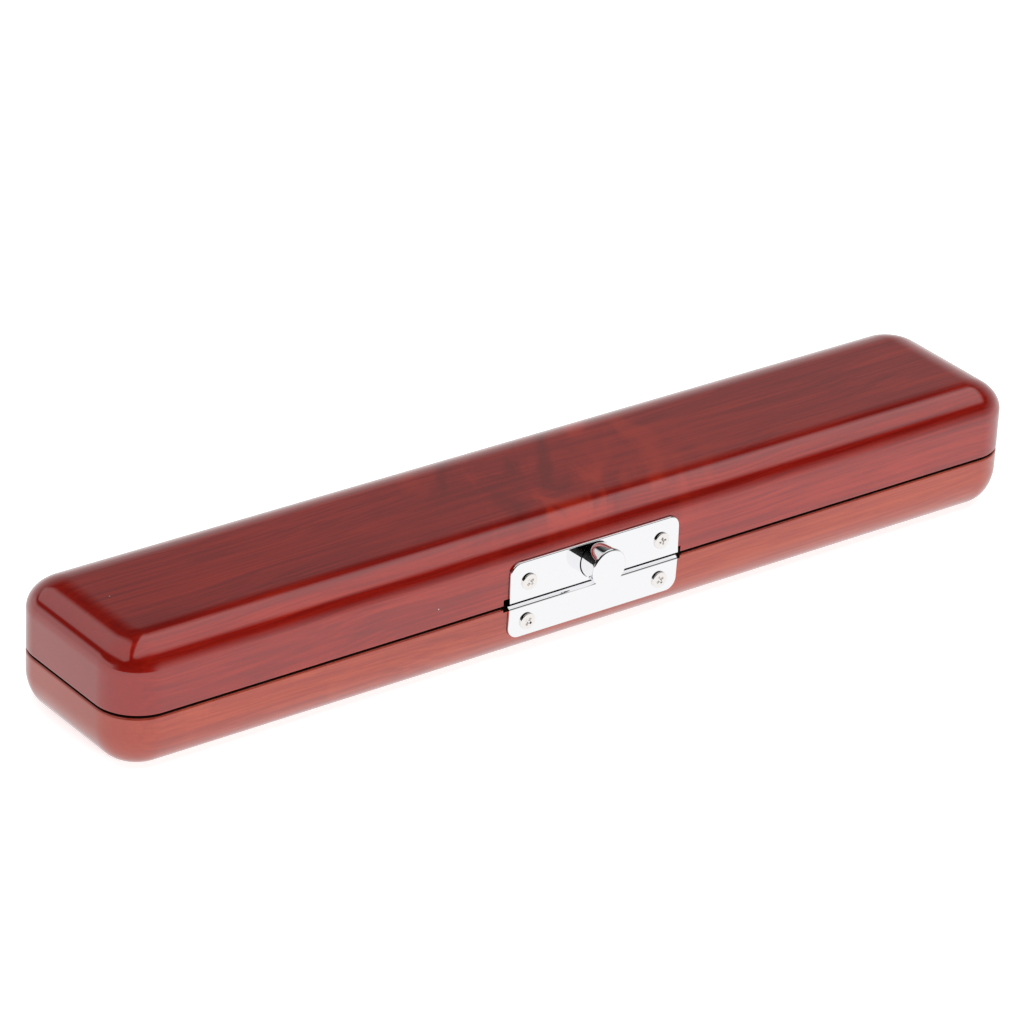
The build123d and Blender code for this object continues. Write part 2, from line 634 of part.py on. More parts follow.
def lid_side_leaf(x, first):
    """Hinge leaf above the axis at z = 0, which takes every second knuckle from the first one given."""
    half = HINGE_LENGTH / 2
    plate = block((x - half, x + half), (LEAF_BACK_Y, LEAF_FRONT_Y), (LEAF_NEAR, LEAF_FAR))
    corners = plate.edges().filter_by(Axis.Y).sort_by(Axis.Z)[-2:]
    leaf = fillet(corners, HINGE_CORNER)
    for start, end in knuckle_spans(x)[first::2]:
        web = extrude(Plane.YZ * knuckle_web(), end - start)
        leaf += Pos(start, HINGE_Y, 0) * web
        leaf += rod_x(KNUCKLE_RADIUS, (start, end), HINGE_Y, 0)
    leaf -= rod_x(PIN_RADIUS + PIN_PLAY, (x - half - BEYOND, x + half + BEYOND), HINGE_Y, 0)
    for place in hinge_screw_places():
        radius = HINGE_SCREW_SHANK_RADIUS + SCREW_PLAY
        leaf -= rod_y(radius, place, (LEAF_BACK_Y - BEYOND, LEAF_FRONT_Y + BEYOND), LEAF_SCREW)
    return leaf


def hinge_lid_leaf(x):
    return Pos(0, 0, PARTING_Z) * lid_side_leaf(x, 1)


def hinge_base_leaf(x):
    return Pos(0, 0, PARTING_Z) * flipped(lid_side_leaf(x, 0))


def hinge_pin(x):
    """Pin with a low head at each end, held by the base's end knuckles."""
    half = HINGE_LENGTH / 2 - KNUCKLE_GAP / 2 + PIN_HEAD_GAP
    pin = rod_x(PIN_RADIUS, (x - half, x + half), HINGE_Y, PARTING_Z)
    pin += rod_x(PIN_HEAD_RADIUS, (x - half - PIN_HEAD, x - half), HINGE_Y, PARTING_Z)
    return pin + rod_x(PIN_HEAD_RADIUS, (x + half, x + half + PIN_HEAD), HINGE_Y, PARTING_Z)


LEFT_X, RIGHT_X = hinge_places()

PARTS = {
    "lid_shell": lid_shell(),
    "base_shell": base_shell(),
    "base_foam": base_foam(),
    "base_velvet": base_velvet(),
    "lid_foam": lid_foam(),
    "lid_velvet": lid_velvet(),
    "latch_upper_plate": latch_upper_plate(),
    "latch_lower_plate": latch_lower_plate(),
    "latch_upper_screws": latch_screws(UPPER_PLATE_Z + UPPER_SCREW_ABOVE_EDGE),
    "latch_lower_screws": latch_screws(LOWER_PLATE_Z - LOWER_SCREW_BELOW_TOP),
    "push_button": push_button(),
    "latch_housing": latch_housing(),
    "catch_spring": catch_spring(),
    "catch_rivets": catch_rivets(),
    "strike_hook": strike_hook(),
    "strike_rivets": strike_rivets(),
    "hinge_left_lid_leaf": hinge_lid_leaf(LEFT_X),
    "hinge_left_base_leaf": hinge_base_leaf(LEFT_X),
    "hinge_left_pin": hinge_pin(LEFT_X),
    "hinge_right_lid_leaf": hinge_lid_leaf(RIGHT_X),
    "hinge_right_base_leaf": hinge_base_leaf(RIGHT_X),
    "hinge_right_pin": hinge_pin(RIGHT_X),
    "hinge_lid_screws": hinge_screws(PARTING_Z + LEAF_SCREW),
    "hinge_base_screws": hinge_screws(PARTING_Z - LEAF_SCREW),
}

os.makedirs("parts", exist_ok=True)
for name, solid in PARTS.items():
    export_step(solid, f"parts/{name}.step")
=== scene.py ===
import math

import bmesh
import bpy
from mathutils import Matrix, Vector, noise


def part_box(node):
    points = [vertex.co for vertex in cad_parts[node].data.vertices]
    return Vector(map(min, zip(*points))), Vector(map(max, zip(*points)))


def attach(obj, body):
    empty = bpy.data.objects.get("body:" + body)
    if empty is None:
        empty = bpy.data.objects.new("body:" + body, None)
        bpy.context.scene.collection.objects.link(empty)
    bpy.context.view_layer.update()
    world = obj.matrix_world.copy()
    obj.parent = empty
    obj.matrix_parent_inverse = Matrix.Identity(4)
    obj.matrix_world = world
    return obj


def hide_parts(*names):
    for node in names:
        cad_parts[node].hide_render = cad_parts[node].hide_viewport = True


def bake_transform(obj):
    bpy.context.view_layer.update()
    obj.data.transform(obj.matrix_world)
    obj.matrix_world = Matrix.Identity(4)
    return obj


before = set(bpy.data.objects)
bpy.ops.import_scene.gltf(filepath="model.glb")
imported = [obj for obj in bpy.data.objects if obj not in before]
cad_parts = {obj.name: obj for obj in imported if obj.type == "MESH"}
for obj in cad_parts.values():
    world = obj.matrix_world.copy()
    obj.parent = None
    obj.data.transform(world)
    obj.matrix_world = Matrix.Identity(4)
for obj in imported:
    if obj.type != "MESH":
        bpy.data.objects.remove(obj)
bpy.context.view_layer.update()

# Flute head joint case: glossy lacquered wood, bright latch, nickel hinges, black plush inside.
# Metres. +X along the case, +Y to the hinges, +Z up, as in the frame.

MM = 0.001
TINY = 0.01 * MM
BEYOND = 1 * MM
X, Y, Z = 0, 1, 2

# Sides of round parts
BUTTON_SIDES = 96
TROUGH_SIDES = 96
SCREW_SIDES = 48
HOLE_SIDES = 32
PILOT_SIDES = 24

# Places taken from the frame
LID_LOW, LID_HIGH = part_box("lid_shell")
BASE_LOW, BASE_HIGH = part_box("base_shell")
LID_RIM_Z = LID_LOW.z
BASE_RIM_Z = BASE_HIGH.z
PARTING_Z = (LID_RIM_Z + BASE_RIM_Z) / 2
FRONT_Y = LID_LOW.y
BACK_Y = LID_HIGH.y
LID_TALL = LID_HIGH.z - LID_RIM_Z
BASE_TALL = BASE_RIM_Z - BASE_LOW.z
UPPER_LOW, UPPER_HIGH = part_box("latch_upper_plate")
LOWER_LOW, LOWER_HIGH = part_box("latch_lower_plate")
BUTTON_LOW, BUTTON_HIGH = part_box("push_button")
HOUSING_LOW, HOUSING_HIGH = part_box("latch_housing")
STRIKE_LOW, STRIKE_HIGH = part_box("strike_hook")
RIVETS_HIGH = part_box("catch_rivets")[1]
LATCH_X = (UPPER_LOW.x + UPPER_HIGH.x) / 2
LATCH_HALF = (UPPER_HIGH.x - UPPER_LOW.x) / 2
RIM_HALF_GAP = (LID_RIM_Z - BASE_RIM_Z) / 2
BUTTON_Z = (BUTTON_LOW.z + BUTTON_HIGH.z) / 2

# Wooden case
PLAN_CORNER = 11 * MM
WALL = 5 * MM
LID_CURVE_IN = 10.5 * MM
LID_CURVE_UP = 7.2 * MM
LID_ROOF = 3.5 * MM
BASE_CURVE_IN = 7 * MM
BASE_CURVE_UP = 9.5 * MM
BASE_FLOOR = 3 * MM
CAVITY_FILLET = 4 * MM
LID_RIM_ROUND = 0.4 * MM
BASE_RIM_ROUND = 0.6 * MM
INNER_RIM_ROUND = 0.15 * MM
FLAT_SUPPORT = 0.3 * MM
SEAT_CLEARANCE = 0.1 * MM
NOTCH_BEYOND = 1.3 * MM
HINGE_SINK = 0.5 * MM
ROOM_CLEARANCE = 0.3 * MM
CORNER_STEPS = 20
CURVE_STEPS = 28
RIM_STEPS = 6

# Lining
LINING_CLEARANCE = 0.15 * MM
TROUGH_RADIUS = 9.8 * MM
TROUGH_LENGTH = 228 * MM
LIP_POCKET_X = -60 * MM
LIP_POCKET_LENGTH = 34 * MM
LIP_POCKET_FRONT = 17 * MM
LIP_POCKET_BACK = 7 * MM
LIP_POCKET_DEPTH = 8.5 * MM
LIP_POCKET_FILLET = 3 * MM
LINING_EDGE = 1.2 * MM
LINING_VOXEL = 0.72 * MM
SOFTENING_PASSES = 5
PILE_HEIGHT = 0.07 * MM
PILE_COARSE = 420
PILE_FINE = 1100

# Latch
PLATE_THICKNESS = 1.2 * MM
PLATE_CORNER = 3 * MM
PLATE_CORNER_STEPS = 12
PLATE_EDGE = 0.32 * MM
UPPER_RIM_EDGE = 0.12 * MM
LOWER_BEVEL_TALL = 0.65 * MM
LOWER_BEVEL_DEEP = 0.92 * MM
BEVEL_FRONT_ROUND = 0.3 * MM
BEVEL_BACK_ROUND = 0.1 * MM
PLATE_BACK_Y = UPPER_LOW.y + PLATE_THICKNESS
WINDOW_HALF = 6.5 * MM
SLOT_CLEARANCE = 0.2 * MM
BUTTON_RADIUS = 4.85 * MM
BUTTON_NECK_RADIUS = 4.5 * MM
BUTTON_PLAY = 0.2 * MM
BUTTON_EDGE = 0.6 * MM
BUTTON_EAR_TALL = 6.8 * MM
BUTTON_EAR_THICKNESS = 0.6 * MM
BUTTON_EAR_GAP = 0.05 * MM
BUTTON_STEM_RADIUS = 2 * MM

# Screws
LATCH_SCREW_SPREAD = 38.8 * MM
UPPER_SCREW_Z = UPPER_LOW.z + 4.75 * MM
LOWER_SCREW_Z = LOWER_HIGH.z - 4.75 * MM
HINGE_SCREW_SPREAD = 16 * MM
PILOT_PLAY = 0.05 * MM
SCREW_HEAD_CHAMFER = 0.1 * MM
SCREW_TIP_RADIUS = 0.15 * MM
SCREW_DOME_STEPS = 12
LATCH_SCREW = {
    "head_radius": 2.1 * MM,
    "head_tall": 0.6 * MM,
    "head_side": 0.22 * MM,
    "shank_radius": 1.1 * MM,
    "reach": 5.1 * MM,
    "cross_length": 1.05 * MM,
    "cross_width": 0.3 * MM,
    "cross_depth": 0.55 * MM,
}
HINGE_SCREW = {
    "head_radius": 1.6 * MM,
    "head_tall": 0.8 * MM,
    "head_side": 0.4 * MM,
    "shank_radius": 0.8 * MM,
    "reach": 4.9 * MM,
    "cross_length": 0.9 * MM,
    "cross_width": 0.2 * MM,
    "cross_depth": 0.5 * MM,
}

# Strike and its rivets
STRIKE_LIP = 0.7 * MM
STRIKE_THICKNESS = 0.8 * MM
STRIKE_BACK_Y = STRIKE_HIGH.y - STRIKE_LIP
STRIKE_Y = STRIKE_BACK_Y - STRIKE_THICKNESS
RIVET_RADIUS = 0.55 * MM
RIVET_HEAD_RADIUS = 1 * MM
RIVET_HEAD = 0.35 * MM
RIVET_PLAY = 0.05 * MM
RIVET_SPREAD = 3.2 * MM

# Wood grain: cells of noise in a metre, along X, Y and Z
WARP_CELLS = (9, 26, 26)
FIBRE_CELLS = (26, 1150, 1150)
BAND_CELLS = (7, 190, 190)
CLOUD_CELLS = (14, 40, 40)
CURL_CELLS = (88, 34, 34)
PORE_CELLS = (190, 3300, 3300)

# Scale of the grain's sway in metres, and the slant of the curly figure
GRAIN_SWAY = (0, 0.011, 0.011)
CURL_SLANT = (1, -0.4, -0.2)

# Finishes
DUST_COLOUR = (0.62, 0.5, 0.46, 1)
DUST_CELLS = 150.0
DUST_SIZE = 0.03
DUST_ABOVE = 0.86
# Near black: painted shade of the joint gap and the notch walls, where no lacquer is
BARE_WOOD_PAINTED_SHADE = (0.02, 0.008, 0.006, 1)
END_GRAIN_FROM = 118 * MM
END_GRAIN_TO = 129 * MM
PLUSH_DEEP = (0.006, 0.006, 0.008, 1)
PLUSH_LIGHT = (0.02, 0.02, 0.024, 1)
COAT_ROUGHNESS = 0.03
COAT_IOR = 1.8
WOOD_METALLIC = 0.5
RELIEF = 0.02 * MM
PLUSH_RELIEF = 0.25 * MM
PLUSH_TUFTS = 2600.0
PLUSH_STROKES = (70, 150, 150)
PLUSH_SHEEN = (0.75, 0.76, 0.85, 1)

# Where lacquer stops and the wood is painted near black as shade: two distances or places that this mask
# fades between
BARE_SHADED_RIM = (RIM_HALF_GAP + 0.12 * MM, RIM_HALF_GAP + 0.02 * MM)
BARE_SHADED_BESIDE_LATCH = (LATCH_HALF + 2 * MM, LATCH_HALF + 1.7 * MM)
BARE_SHADED_FROM_FRONT = (FRONT_Y, FRONT_Y + 0.2 * MM)
BARE_SHADED_TO_BACK = (FRONT_Y + 2 * WALL, FRONT_Y + WALL)
BARE_SHADED_NOTCH_TALL = (3 * MM, 2.5 * MM)

# The angle of the photograph
CAMERA_AZIMUTH = math.radians(-37.857)
CAMERA_ELEVATION = math.radians(27.362)
CAMERA_ROLL = math.radians(2.952)
CAMERA_DISTANCE = 1.28596
CAMERA_RIGHT = -4.781 * MM
CAMERA_UP = 6.518 * MM
FOCAL_PIXELS = 5422.283
IMAGE_PIXELS = 1024
SENSOR = 36.0

# Studio
FLOOR_SIZE = 6.0
FLOOR_LIFT = 0.68
WHITE = (1, 1, 1, 1)
PAPER = (0.9, 0.9, 0.9, 1)
GLOW_BRIGHT = 0.87
GLOW_DIM = 0.02

# Heights where the glow above the horizon ends. At the left it fades between two.
FRONT_GLOW_TOP = 0.53
BACK_GLOW_TOP = 0.62
LEFT_GLOW_TOP = (0.37, 0.22)

# Where the sky changes: limits of a direction's x, of its y and of how far it heads for the camera
TO_LEFT = (-0.1, -0.35)
LEFT_TO_BACK = (-0.15, 0.1)
FRONT_TO_BACK = (-0.1, 0.3)
AT_CAMERA = (0.85, 0.5)
AT_CAMERA_LIGHT = 0.04
LEAST_HEIGHT = 0.05

# Soft panels overhead, in the plane where height is one: limits of x, of y and of y - x
RIGHT_PANEL = ((-0.5, -0.3, 0.9, 1.4), (-0.65, -0.25, 0.42, 0.75), (-9, -8, 0.03, 0.13))
LEFT_PANEL = ((-1.2, -0.85, -0.05, 0.2), (-0.5, -0.3, 1.9, 2.3), (0.21, 0.31, 8, 9))
RIGHT_PANEL_LIGHT = 1.0
LEFT_PANEL_LIGHT = 0.75

# Lamps: place, size and power
FRONT_FILL = ((-0.5, -1.5, 0.45), 1.0, 20)
TOP_FILL = ((0.1, -0.2, 1.4), 1.2, 11)


# Mesh helpers

def box_mesh(low, high):
    """A block between two corners."""
    mesh = bmesh.new()
    low, high = Vector(low), Vector(high)
    size = high - low
    place = Matrix.Translation((low + high) / 2) @ Matrix.Diagonal((*size, 1))
    bmesh.ops.create_cube(mesh, size=1, matrix=place)
    return mesh


def rod_mesh(radius, start, end, segments=64):
    """A round bar between two points."""
    mesh = bmesh.new()
    start, end = Vector(start), Vector(end)
    axis = end - start
    place = Matrix.Translation((start + end) / 2) @ axis.to_track_quat("Z", "Y").to_matrix().to_4x4()
    bmesh.ops.create_cone(
        mesh, cap_ends=True, segments=segments, radius1=radius, radius2=radius,
        depth=axis.length, matrix=place,
    )
    return mesh


def whole(mesh):
    """All that a mesh is made of."""
    return mesh.verts[:] + mesh.edges[:] + mesh.faces[:]


def edges_where(mesh, test):
    """Edges whose two ends both pass a test of their place."""
    return [e for e in mesh.edges if all(test(v.co) for v in e.verts)]


def extent(edge, axis):
    """How far an edge runs along one axis."""
    return abs(edge.verts[0].co[axis] - edge.verts[1].co[axis])


def corners_at(mesh, z):
    """A block's edges from front to back at one height."""
    level = edges_where(mesh, lambda co: abs(co.z - z) < TINY)
    return [e for e in level if extent(e, Y) > TINY]


def round_edges(mesh, edges, radius, segments):
    bmesh.ops.bevel(
        mesh, geom=edges, offset=radius, offset_type="OFFSET", affect="EDGES",
        segments=segments, profile=0.5, material=-1, clamp_overlap=False,
    )


def arc_points(centre, radii, start, end, steps):
    """Points on part of an ellipse, angles in degrees from the first axis."""
    points = []
    for i in range(steps + 1):
        angle = math.radians(start + (end - start) * i / steps)
        points.append((centre[0] + radii[0] * math.cos(angle), centre[1] + radii[1] * math.sin(angle)))
    return points


def new_object(name, data):
    made = bpy.data.objects.new(name, data)
    bpy.context.scene.collection.objects.link(made)
    return made


def mesh_object(name, mesh, material=None):
    """Puts a mesh in the scene as an object."""
    data = bpy.data.meshes.new(name)
    mesh.to_mesh(data)
    mesh.free()
    if material:
        data.materials.append(material)
    return new_object(name, data)


def as_piece(name, mesh, material, sharp=32):
    """Turns a mesh into a finished object, smooth except over sharp edges, and turned outwards."""
    bmesh.ops.remove_doubles(mesh, verts=mesh.verts, dist=TINY / 2)
    bmesh.ops.recalc_face_normals(mesh, faces=mesh.faces)
    piece = mesh_object(name, mesh, material)
    shade(piece, sharp)
    return piece


def shade(piece, sharp=32):
    piece.data.shade_smooth()
    piece.data.set_sharp_from_angle(angle=math.radians(sharp))


def bake_modifiers(piece):
    """Replaces the piece's mesh by what its modifiers make of it."""
    shown = piece.evaluated_get(bpy.context.evaluated_depsgraph_get())
    made = bpy.data.meshes.new_from_object(shown)
    old = piece.data
    piece.modifiers.clear()
    piece.data = made
    bpy.data.meshes.remove(old)


def combine(piece, shape, operation, solver="EXACT"):
    """Cuts a closed shape out of a piece, or fuses it to the piece."""
    other = mesh_object("other", shape)
    data = other.data
    change = piece.modifiers.new("change", "BOOLEAN")
    change.operation = operation
    change.solver = solver
    change.object = other
    bpy.context.view_layer.update()
    bake_modifiers(piece)
    bpy.data.objects.remove(other)
    bpy.data.meshes.remove(data)


def cut_away(piece, shapes, solver="EXACT"):
    """Cuts closed shapes out of a piece, one after the other."""
    for shape in shapes:
        combine(piece, shape, "DIFFERENCE", solver)


def dress(piece, body, slot, *nodes):
    """Fixes a finished piece to its body and lets it stand for CAD nodes. Its slot is not used."""
    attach(piece, body)
    if nodes:
        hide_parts(*nodes)


def dress_chrome(piece, body, node):
    """Finishes a bright piece of the latch. Its large flat faces stay flat beside rounded edges."""
    shade(piece)
    weighted = piece.modifiers.new("flat faces", "WEIGHTED_NORMAL")
    weighted.keep_sharp = True
    weighted.weight = 90
    dress(piece, body, "chrome_plate", node)


def smooth_copy(node, material, sharp=28):
    """A merged copy of a CAD node, shaded smooth over its round faces."""
    mesh = bmesh.new()
    mesh.from_mesh(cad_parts[node].data)
    bmesh.ops.remove_doubles(mesh, verts=mesh.verts, dist=TINY / 10)
    piece = mesh_object(node + "_finish", mesh, material)
    shade(piece, sharp)
    return piece


# Node helpers

def new_material(name):
    material = bpy.data.materials.new(name)
    material.use_nodes = True
    return material, material.node_tree, material.node_tree.nodes["Principled BSDF"]


def add_node(tree, kind, **settings):
    made = tree.nodes.new(kind)
    for name, value in settings.items():
        setattr(made, name, value)
    return made


def feed(tree, source, target):
    """Links a socket, or sets a plain value, on a target socket."""
    if isinstance(source, bpy.types.NodeSocket):
        tree.links.new(source, target)
    else:
        target.default_value = source


def new_group(name, inputs, outputs):
    """A shader node group with named sockets, and its two end nodes."""
    tree = bpy.data.node_groups.new(name, "ShaderNodeTree")
    for socket, kind in inputs:
        tree.interface.new_socket(socket, in_out="INPUT", socket_type=kind)
    for socket, kind in outputs:
        tree.interface.new_socket(socket, in_out="OUTPUT", socket_type=kind)
    return tree, tree.nodes.new("NodeGroupInput"), tree.nodes.new("NodeGroupOutput")


def place_group(tree, group, **values):
    """Places a group in a material and sets its inputs."""
    made = add_node(tree, "ShaderNodeGroup", node_tree=group)
    set_inputs(made, **values)
    return made


def set_inputs(node, **values):
    """Sets plain values or links on a node's inputs; underscores stand for spaces."""
    for name, value in values.items():
        feed(node.id_data, value, node.inputs[name.replace("_", " ")])


def math_node(tree, operation, first, second=0.0, third=0.0):
    made = add_node(tree, "ShaderNodeMath", operation=operation)
    for socket, value in zip(made.inputs, (first, second, third)):
        feed(tree, value, socket)
    return made.outputs[0]


def vector_node(tree, operation, first, second=(0, 0, 0)):
    made = add_node(tree, "ShaderNodeVectorMath", operation=operation)
    feed(tree, first, made.inputs[0])
    feed(tree, second, made.inputs[1])
    return made.outputs["Value" if operation == "DOT_PRODUCT" else "Vector"]


def noise_node(tree, vector, scale=1.0, detail=3.0, roughness=0.5, distortion=0.0):
    made = add_node(tree, "ShaderNodeTexNoise")
    set_inputs(made, Vector=vector, Scale=scale, Detail=detail, Roughness=roughness, Distortion=distortion)
    return made.outputs["Fac"]


def product(tree, first, *others):
    """Multiplies values one after the other."""
    for other in others:
        first = math_node(tree, "MULTIPLY", first, other)
    return first


def distance_from(tree, value, middle):
    return math_node(tree, "ABSOLUTE", math_node(tree, "SUBTRACT", value, middle))


def axes_of(tree, vector):
    """A vector's three parts."""
    apart = tree.nodes.new("ShaderNodeSeparateXYZ")
    tree.links.new(vector, apart.inputs[0])
    return apart.outputs


def joined(tree, *parts):
    """A vector of three parts."""
    made = tree.nodes.new("ShaderNodeCombineXYZ")
    for part, socket in zip(parts, made.inputs):
        tree.links.new(part, socket)
    return made.outputs[0]


def scaled(tree, vector, scales):
    return vector_node(tree, "MULTIPLY", vector, scales)


def spread(tree, value, low, high, to_low=0.0, to_high=1.0, curve="SMOOTHSTEP"):
    """Maps a value from one range to another, smoothly unless told otherwise."""
    made = add_node(tree, "ShaderNodeMapRange", interpolation_type=curve)
    set_inputs(made, Value=value, From_Min=low, From_Max=high, To_Min=to_low, To_Max=to_high)
    return made.outputs["Result"]


def blend_colour(tree, share, first, second):
    made = add_node(tree, "ShaderNodeMix", data_type="RGBA")
    colours = [socket for socket in made.inputs if socket.type == "RGBA"]
    feed(tree, share, made.inputs["Factor"])
    feed(tree, first, colours[0])
    feed(tree, second, colours[1])
    return [socket for socket in made.outputs if socket.type == "RGBA"][0]


def object_place(tree, offset=(0, 0, 0)):
    """Object coordinates, moved by an offset in metres."""
    place = tree.nodes.new("ShaderNodeTexCoord").outputs["Object"]
    return vector_node(tree, "ADD", place, offset)


def bump(tree, height, strength, distance):
    made = tree.nodes.new("ShaderNodeBump")
    set_inputs(made, Height=height, Strength=strength, Distance=distance)
    return made.outputs["Normal"]


# Effects that several finishes share

def wood_grain_group():
    """Stained wood that runs along X: long fibres, broad bands, curly figure, pores and dark smudges."""
    tree, given, put = new_group(
        "wood_grain",
        [
            ("Place", "NodeSocketVector"),
            ("Deep", "NodeSocketColor"),
            ("Middle", "NodeSocketColor"),
            ("Bright", "NodeSocketColor"),
            ("Figure", "NodeSocketFloat"),
        ],
        [("Color", "NodeSocketColor"), ("Height", "NodeSocketFloat"), ("Roughness", "NodeSocketFloat")],
    )
    place = given.outputs["Place"]
    warp = math_node(tree, "SUBTRACT", noise_node(tree, scaled(tree, place, WARP_CELLS), detail=2.0), 0.5)
    sway = scaled(tree, joined(tree, warp, warp, warp), GRAIN_SWAY)
    grown = vector_node(tree, "ADD", place, sway)
    fibres = noise_node(tree, scaled(tree, grown, FIBRE_CELLS), detail=4.0, roughness=0.62)
    bands = noise_node(tree, scaled(tree, grown, BAND_CELLS))
    clouds = noise_node(tree, scaled(tree, place, CLOUD_CELLS), roughness=0.6)
    _, y, z = axes_of(tree, place)
    across = joined(tree, vector_node(tree, "DOT_PRODUCT", place, CURL_SLANT), y, z)
    curl = noise_node(tree, scaled(tree, across, CURL_CELLS), distortion=0.7)
    pores = noise_node(tree, scaled(tree, grown, PORE_CELLS), detail=1.0)
    pore = spread(tree, pores, 0.66, 0.78)
    shade_of = math_node(tree, "MULTIPLY_ADD", spread(tree, fibres, 0.3, 0.7), 0.55, 0.0)
    shade_of = math_node(tree, "MULTIPLY_ADD", spread(tree, bands, 0.28, 0.72), 0.3, shade_of)
    shade_of = math_node(tree, "MULTIPLY_ADD", spread(tree, clouds, 0.3, 0.7), 0.15, shade_of)
    low_half = spread(tree, shade_of, -0.15, 0.6)
    high_half = product(tree, spread(tree, shade_of, 0.38, 1.0), 0.6)
    colour = blend_colour(tree, low_half, given.outputs["Deep"], given.outputs["Middle"])
    colour = blend_colour(tree, high_half, colour, given.outputs["Bright"])
    flame = product(tree, spread(tree, curl, 0.5, 0.66), given.outputs["Figure"], 0.9)
    colour = blend_colour(tree, flame, colour, given.outputs["Bright"])
    smudge = product(tree, spread(tree, curl, 0.47, 0.32), given.outputs["Figure"], 0.8)
    colour = blend_colour(tree, smudge, colour, given.outputs["Deep"])
    colour = blend_colour(tree, product(tree, pore, 0.35), colour, given.outputs["Deep"])
    height = math_node(tree, "MULTIPLY_ADD", pore, -0.5, fibres)
    rough = spread(tree, clouds, 0.2, 0.8, 0.3, 0.42)
    set_inputs(put, Color=colour, Height=height, Roughness=rough)
    return tree


def dust_group():
    """Sparse pale specks, each a fraction of a millimetre."""
    tree, given, put = new_group(
        "dust_specks",
        [("Place", "NodeSocketVector"), ("Density", "NodeSocketFloat"), ("Size", "NodeSocketFloat")],
        [("Mask", "NodeSocketFloat")],
    )
    cells = add_node(tree, "ShaderNodeTexVoronoi")
    set_inputs(cells, Vector=given.outputs["Place"], Scale=given.outputs["Density"])
    parts = tree.nodes.new("ShaderNodeSeparateColor")
    tree.links.new(cells.outputs["Color"], parts.inputs[0])
    chosen = math_node(tree, "GREATER_THAN", parts.outputs[0], DUST_ABOVE)
    size = product(tree, given.outputs["Size"], parts.outputs[1])
    speck = math_node(tree, "LESS_THAN", cells.outputs["Distance"], size)
    set_inputs(put, Mask=product(tree, chosen, speck))
    return tree


def polish_group():
    """Polished metal: faint smears in the roughness and hair scratches in the height."""
    tree, given, put = new_group(
        "metal_polish",
        [
            ("Place", "NodeSocketVector"),
            ("Roughness", "NodeSocketFloat"),
            ("Smear", "NodeSocketFloat"),
            ("Direction", "NodeSocketVector"),
        ],
        [("Roughness", "NodeSocketFloat"), ("Height", "NodeSocketFloat")],
    )
    place = given.outputs["Place"]
    clouds = noise_node(tree, place, scale=160.0, detail=4.0, roughness=0.6)
    hairs = noise_node(tree, scaled(tree, place, given.outputs["Direction"]), detail=2.0)
    hair = spread(tree, hairs, 0.6, 0.75)
    smear = product(tree, spread(tree, clouds, 0.35, 0.7), given.outputs["Smear"])
    rough = math_node(tree, "ADD", given.outputs["Roughness"], smear)
    rough = math_node(tree, "MULTIPLY_ADD", hair, 0.03, rough)
    set_inputs(put, Roughness=rough, Height=product(tree, hair, -1.0))
    return tree


def bare_wood_shade_group():
    """Where no lacquer reaches, painted near-black shade: the two rims in the joint, and the walls of the
    notch beside the latch.
    """
    tree, given, put = new_group("bare_wood_painted_shade", [("Place", "NodeSocketVector")], [("Mask", "NodeSocketFloat")])
    x, y, z = axes_of(tree, given.outputs["Place"])
    from_joint = distance_from(tree, z, PARTING_Z)
    rims = spread(tree, from_joint, *BARE_SHADED_RIM)
    notch = product(
        tree,
        spread(tree, distance_from(tree, x, LATCH_X), *BARE_SHADED_BESIDE_LATCH),
        spread(tree, y, *BARE_SHADED_FROM_FRONT),
        spread(tree, y, *BARE_SHADED_TO_BACK),
        spread(tree, from_joint, *BARE_SHADED_NOTCH_TALL),
    )
    set_inputs(put, Mask=math_node(tree, "MAXIMUM", rims, notch))
    return tree


WOOD_GRAIN = wood_grain_group()
BARE_AND_SHADE = bare_wood_shade_group()
DUST = dust_group()
POLISH = polish_group()


# Finishes

def lacquered_wood(name, offset, deep, middle, bright, figure_centre, figure_reach):
    """Stained wood under clear gloss lacquer, with curly figure around one place along the case."""
    material, tree, shader = new_material(name)
    place = object_place(tree, offset)
    own_place = tree.nodes.new("ShaderNodeTexCoord").outputs["Object"]
    x, y, _ = axes_of(tree, own_place)
    figure = product(
        tree,
        spread(tree, distance_from(tree, x, figure_centre), figure_reach, figure_reach * 0.3),
        spread(tree, y, FRONT_Y, FRONT_Y * 0.6, 0.3, 1.0),
    )
    grain = place_group(
        tree, WOOD_GRAIN, Place=place, Deep=deep, Middle=middle, Bright=bright, Figure=figure
    )
    dust = place_group(tree, DUST, Place=place, Density=DUST_CELLS, Size=DUST_SIZE)
    end = spread(tree, math_node(tree, "ABSOLUTE", x), END_GRAIN_FROM, END_GRAIN_TO)
    colour = blend_colour(tree, product(tree, end, 0.85), grain.outputs["Color"], middle)
    colour = blend_colour(tree, dust.outputs["Mask"], colour, DUST_COLOUR)
    # Rims and notch walls lose the lacquer and take near-black painted shade.
    bare_and_shaded = place_group(tree, BARE_AND_SHADE, Place=own_place).outputs["Mask"]
    coated = math_node(tree, "SUBTRACT", 1.0, bare_and_shaded)
    set_inputs(
        shader,
        Base_Color=blend_colour(tree, bare_and_shaded, colour, BARE_WOOD_PAINTED_SHADE),
        Roughness=grain.outputs["Roughness"],
        Normal=bump(tree, grain.outputs["Height"], 0.05, RELIEF),
        Metallic=product(tree, coated, WOOD_METALLIC),
        Specular_IOR_Level=0.0,
        Coat_Weight=coated,
        Coat_Roughness=COAT_ROUGHNESS,
        Coat_IOR=COAT_IOR,
    )
    return material


def polished_metal(name, colour, roughness, smear, direction=(300, 300, 9000), depth=0.02):
    material, tree, shader = new_material(name)
    place = object_place(tree)
    polish = place_group(
        tree, POLISH, Place=place, Roughness=roughness, Smear=smear, Direction=direction
    )
    relief = bump(tree, polish.outputs["Height"], depth, RELIEF)
    set_inputs(
        shader, Base_Color=colour, Metallic=1.0, Roughness=polish.outputs["Roughness"], Normal=relief
    )
    return material


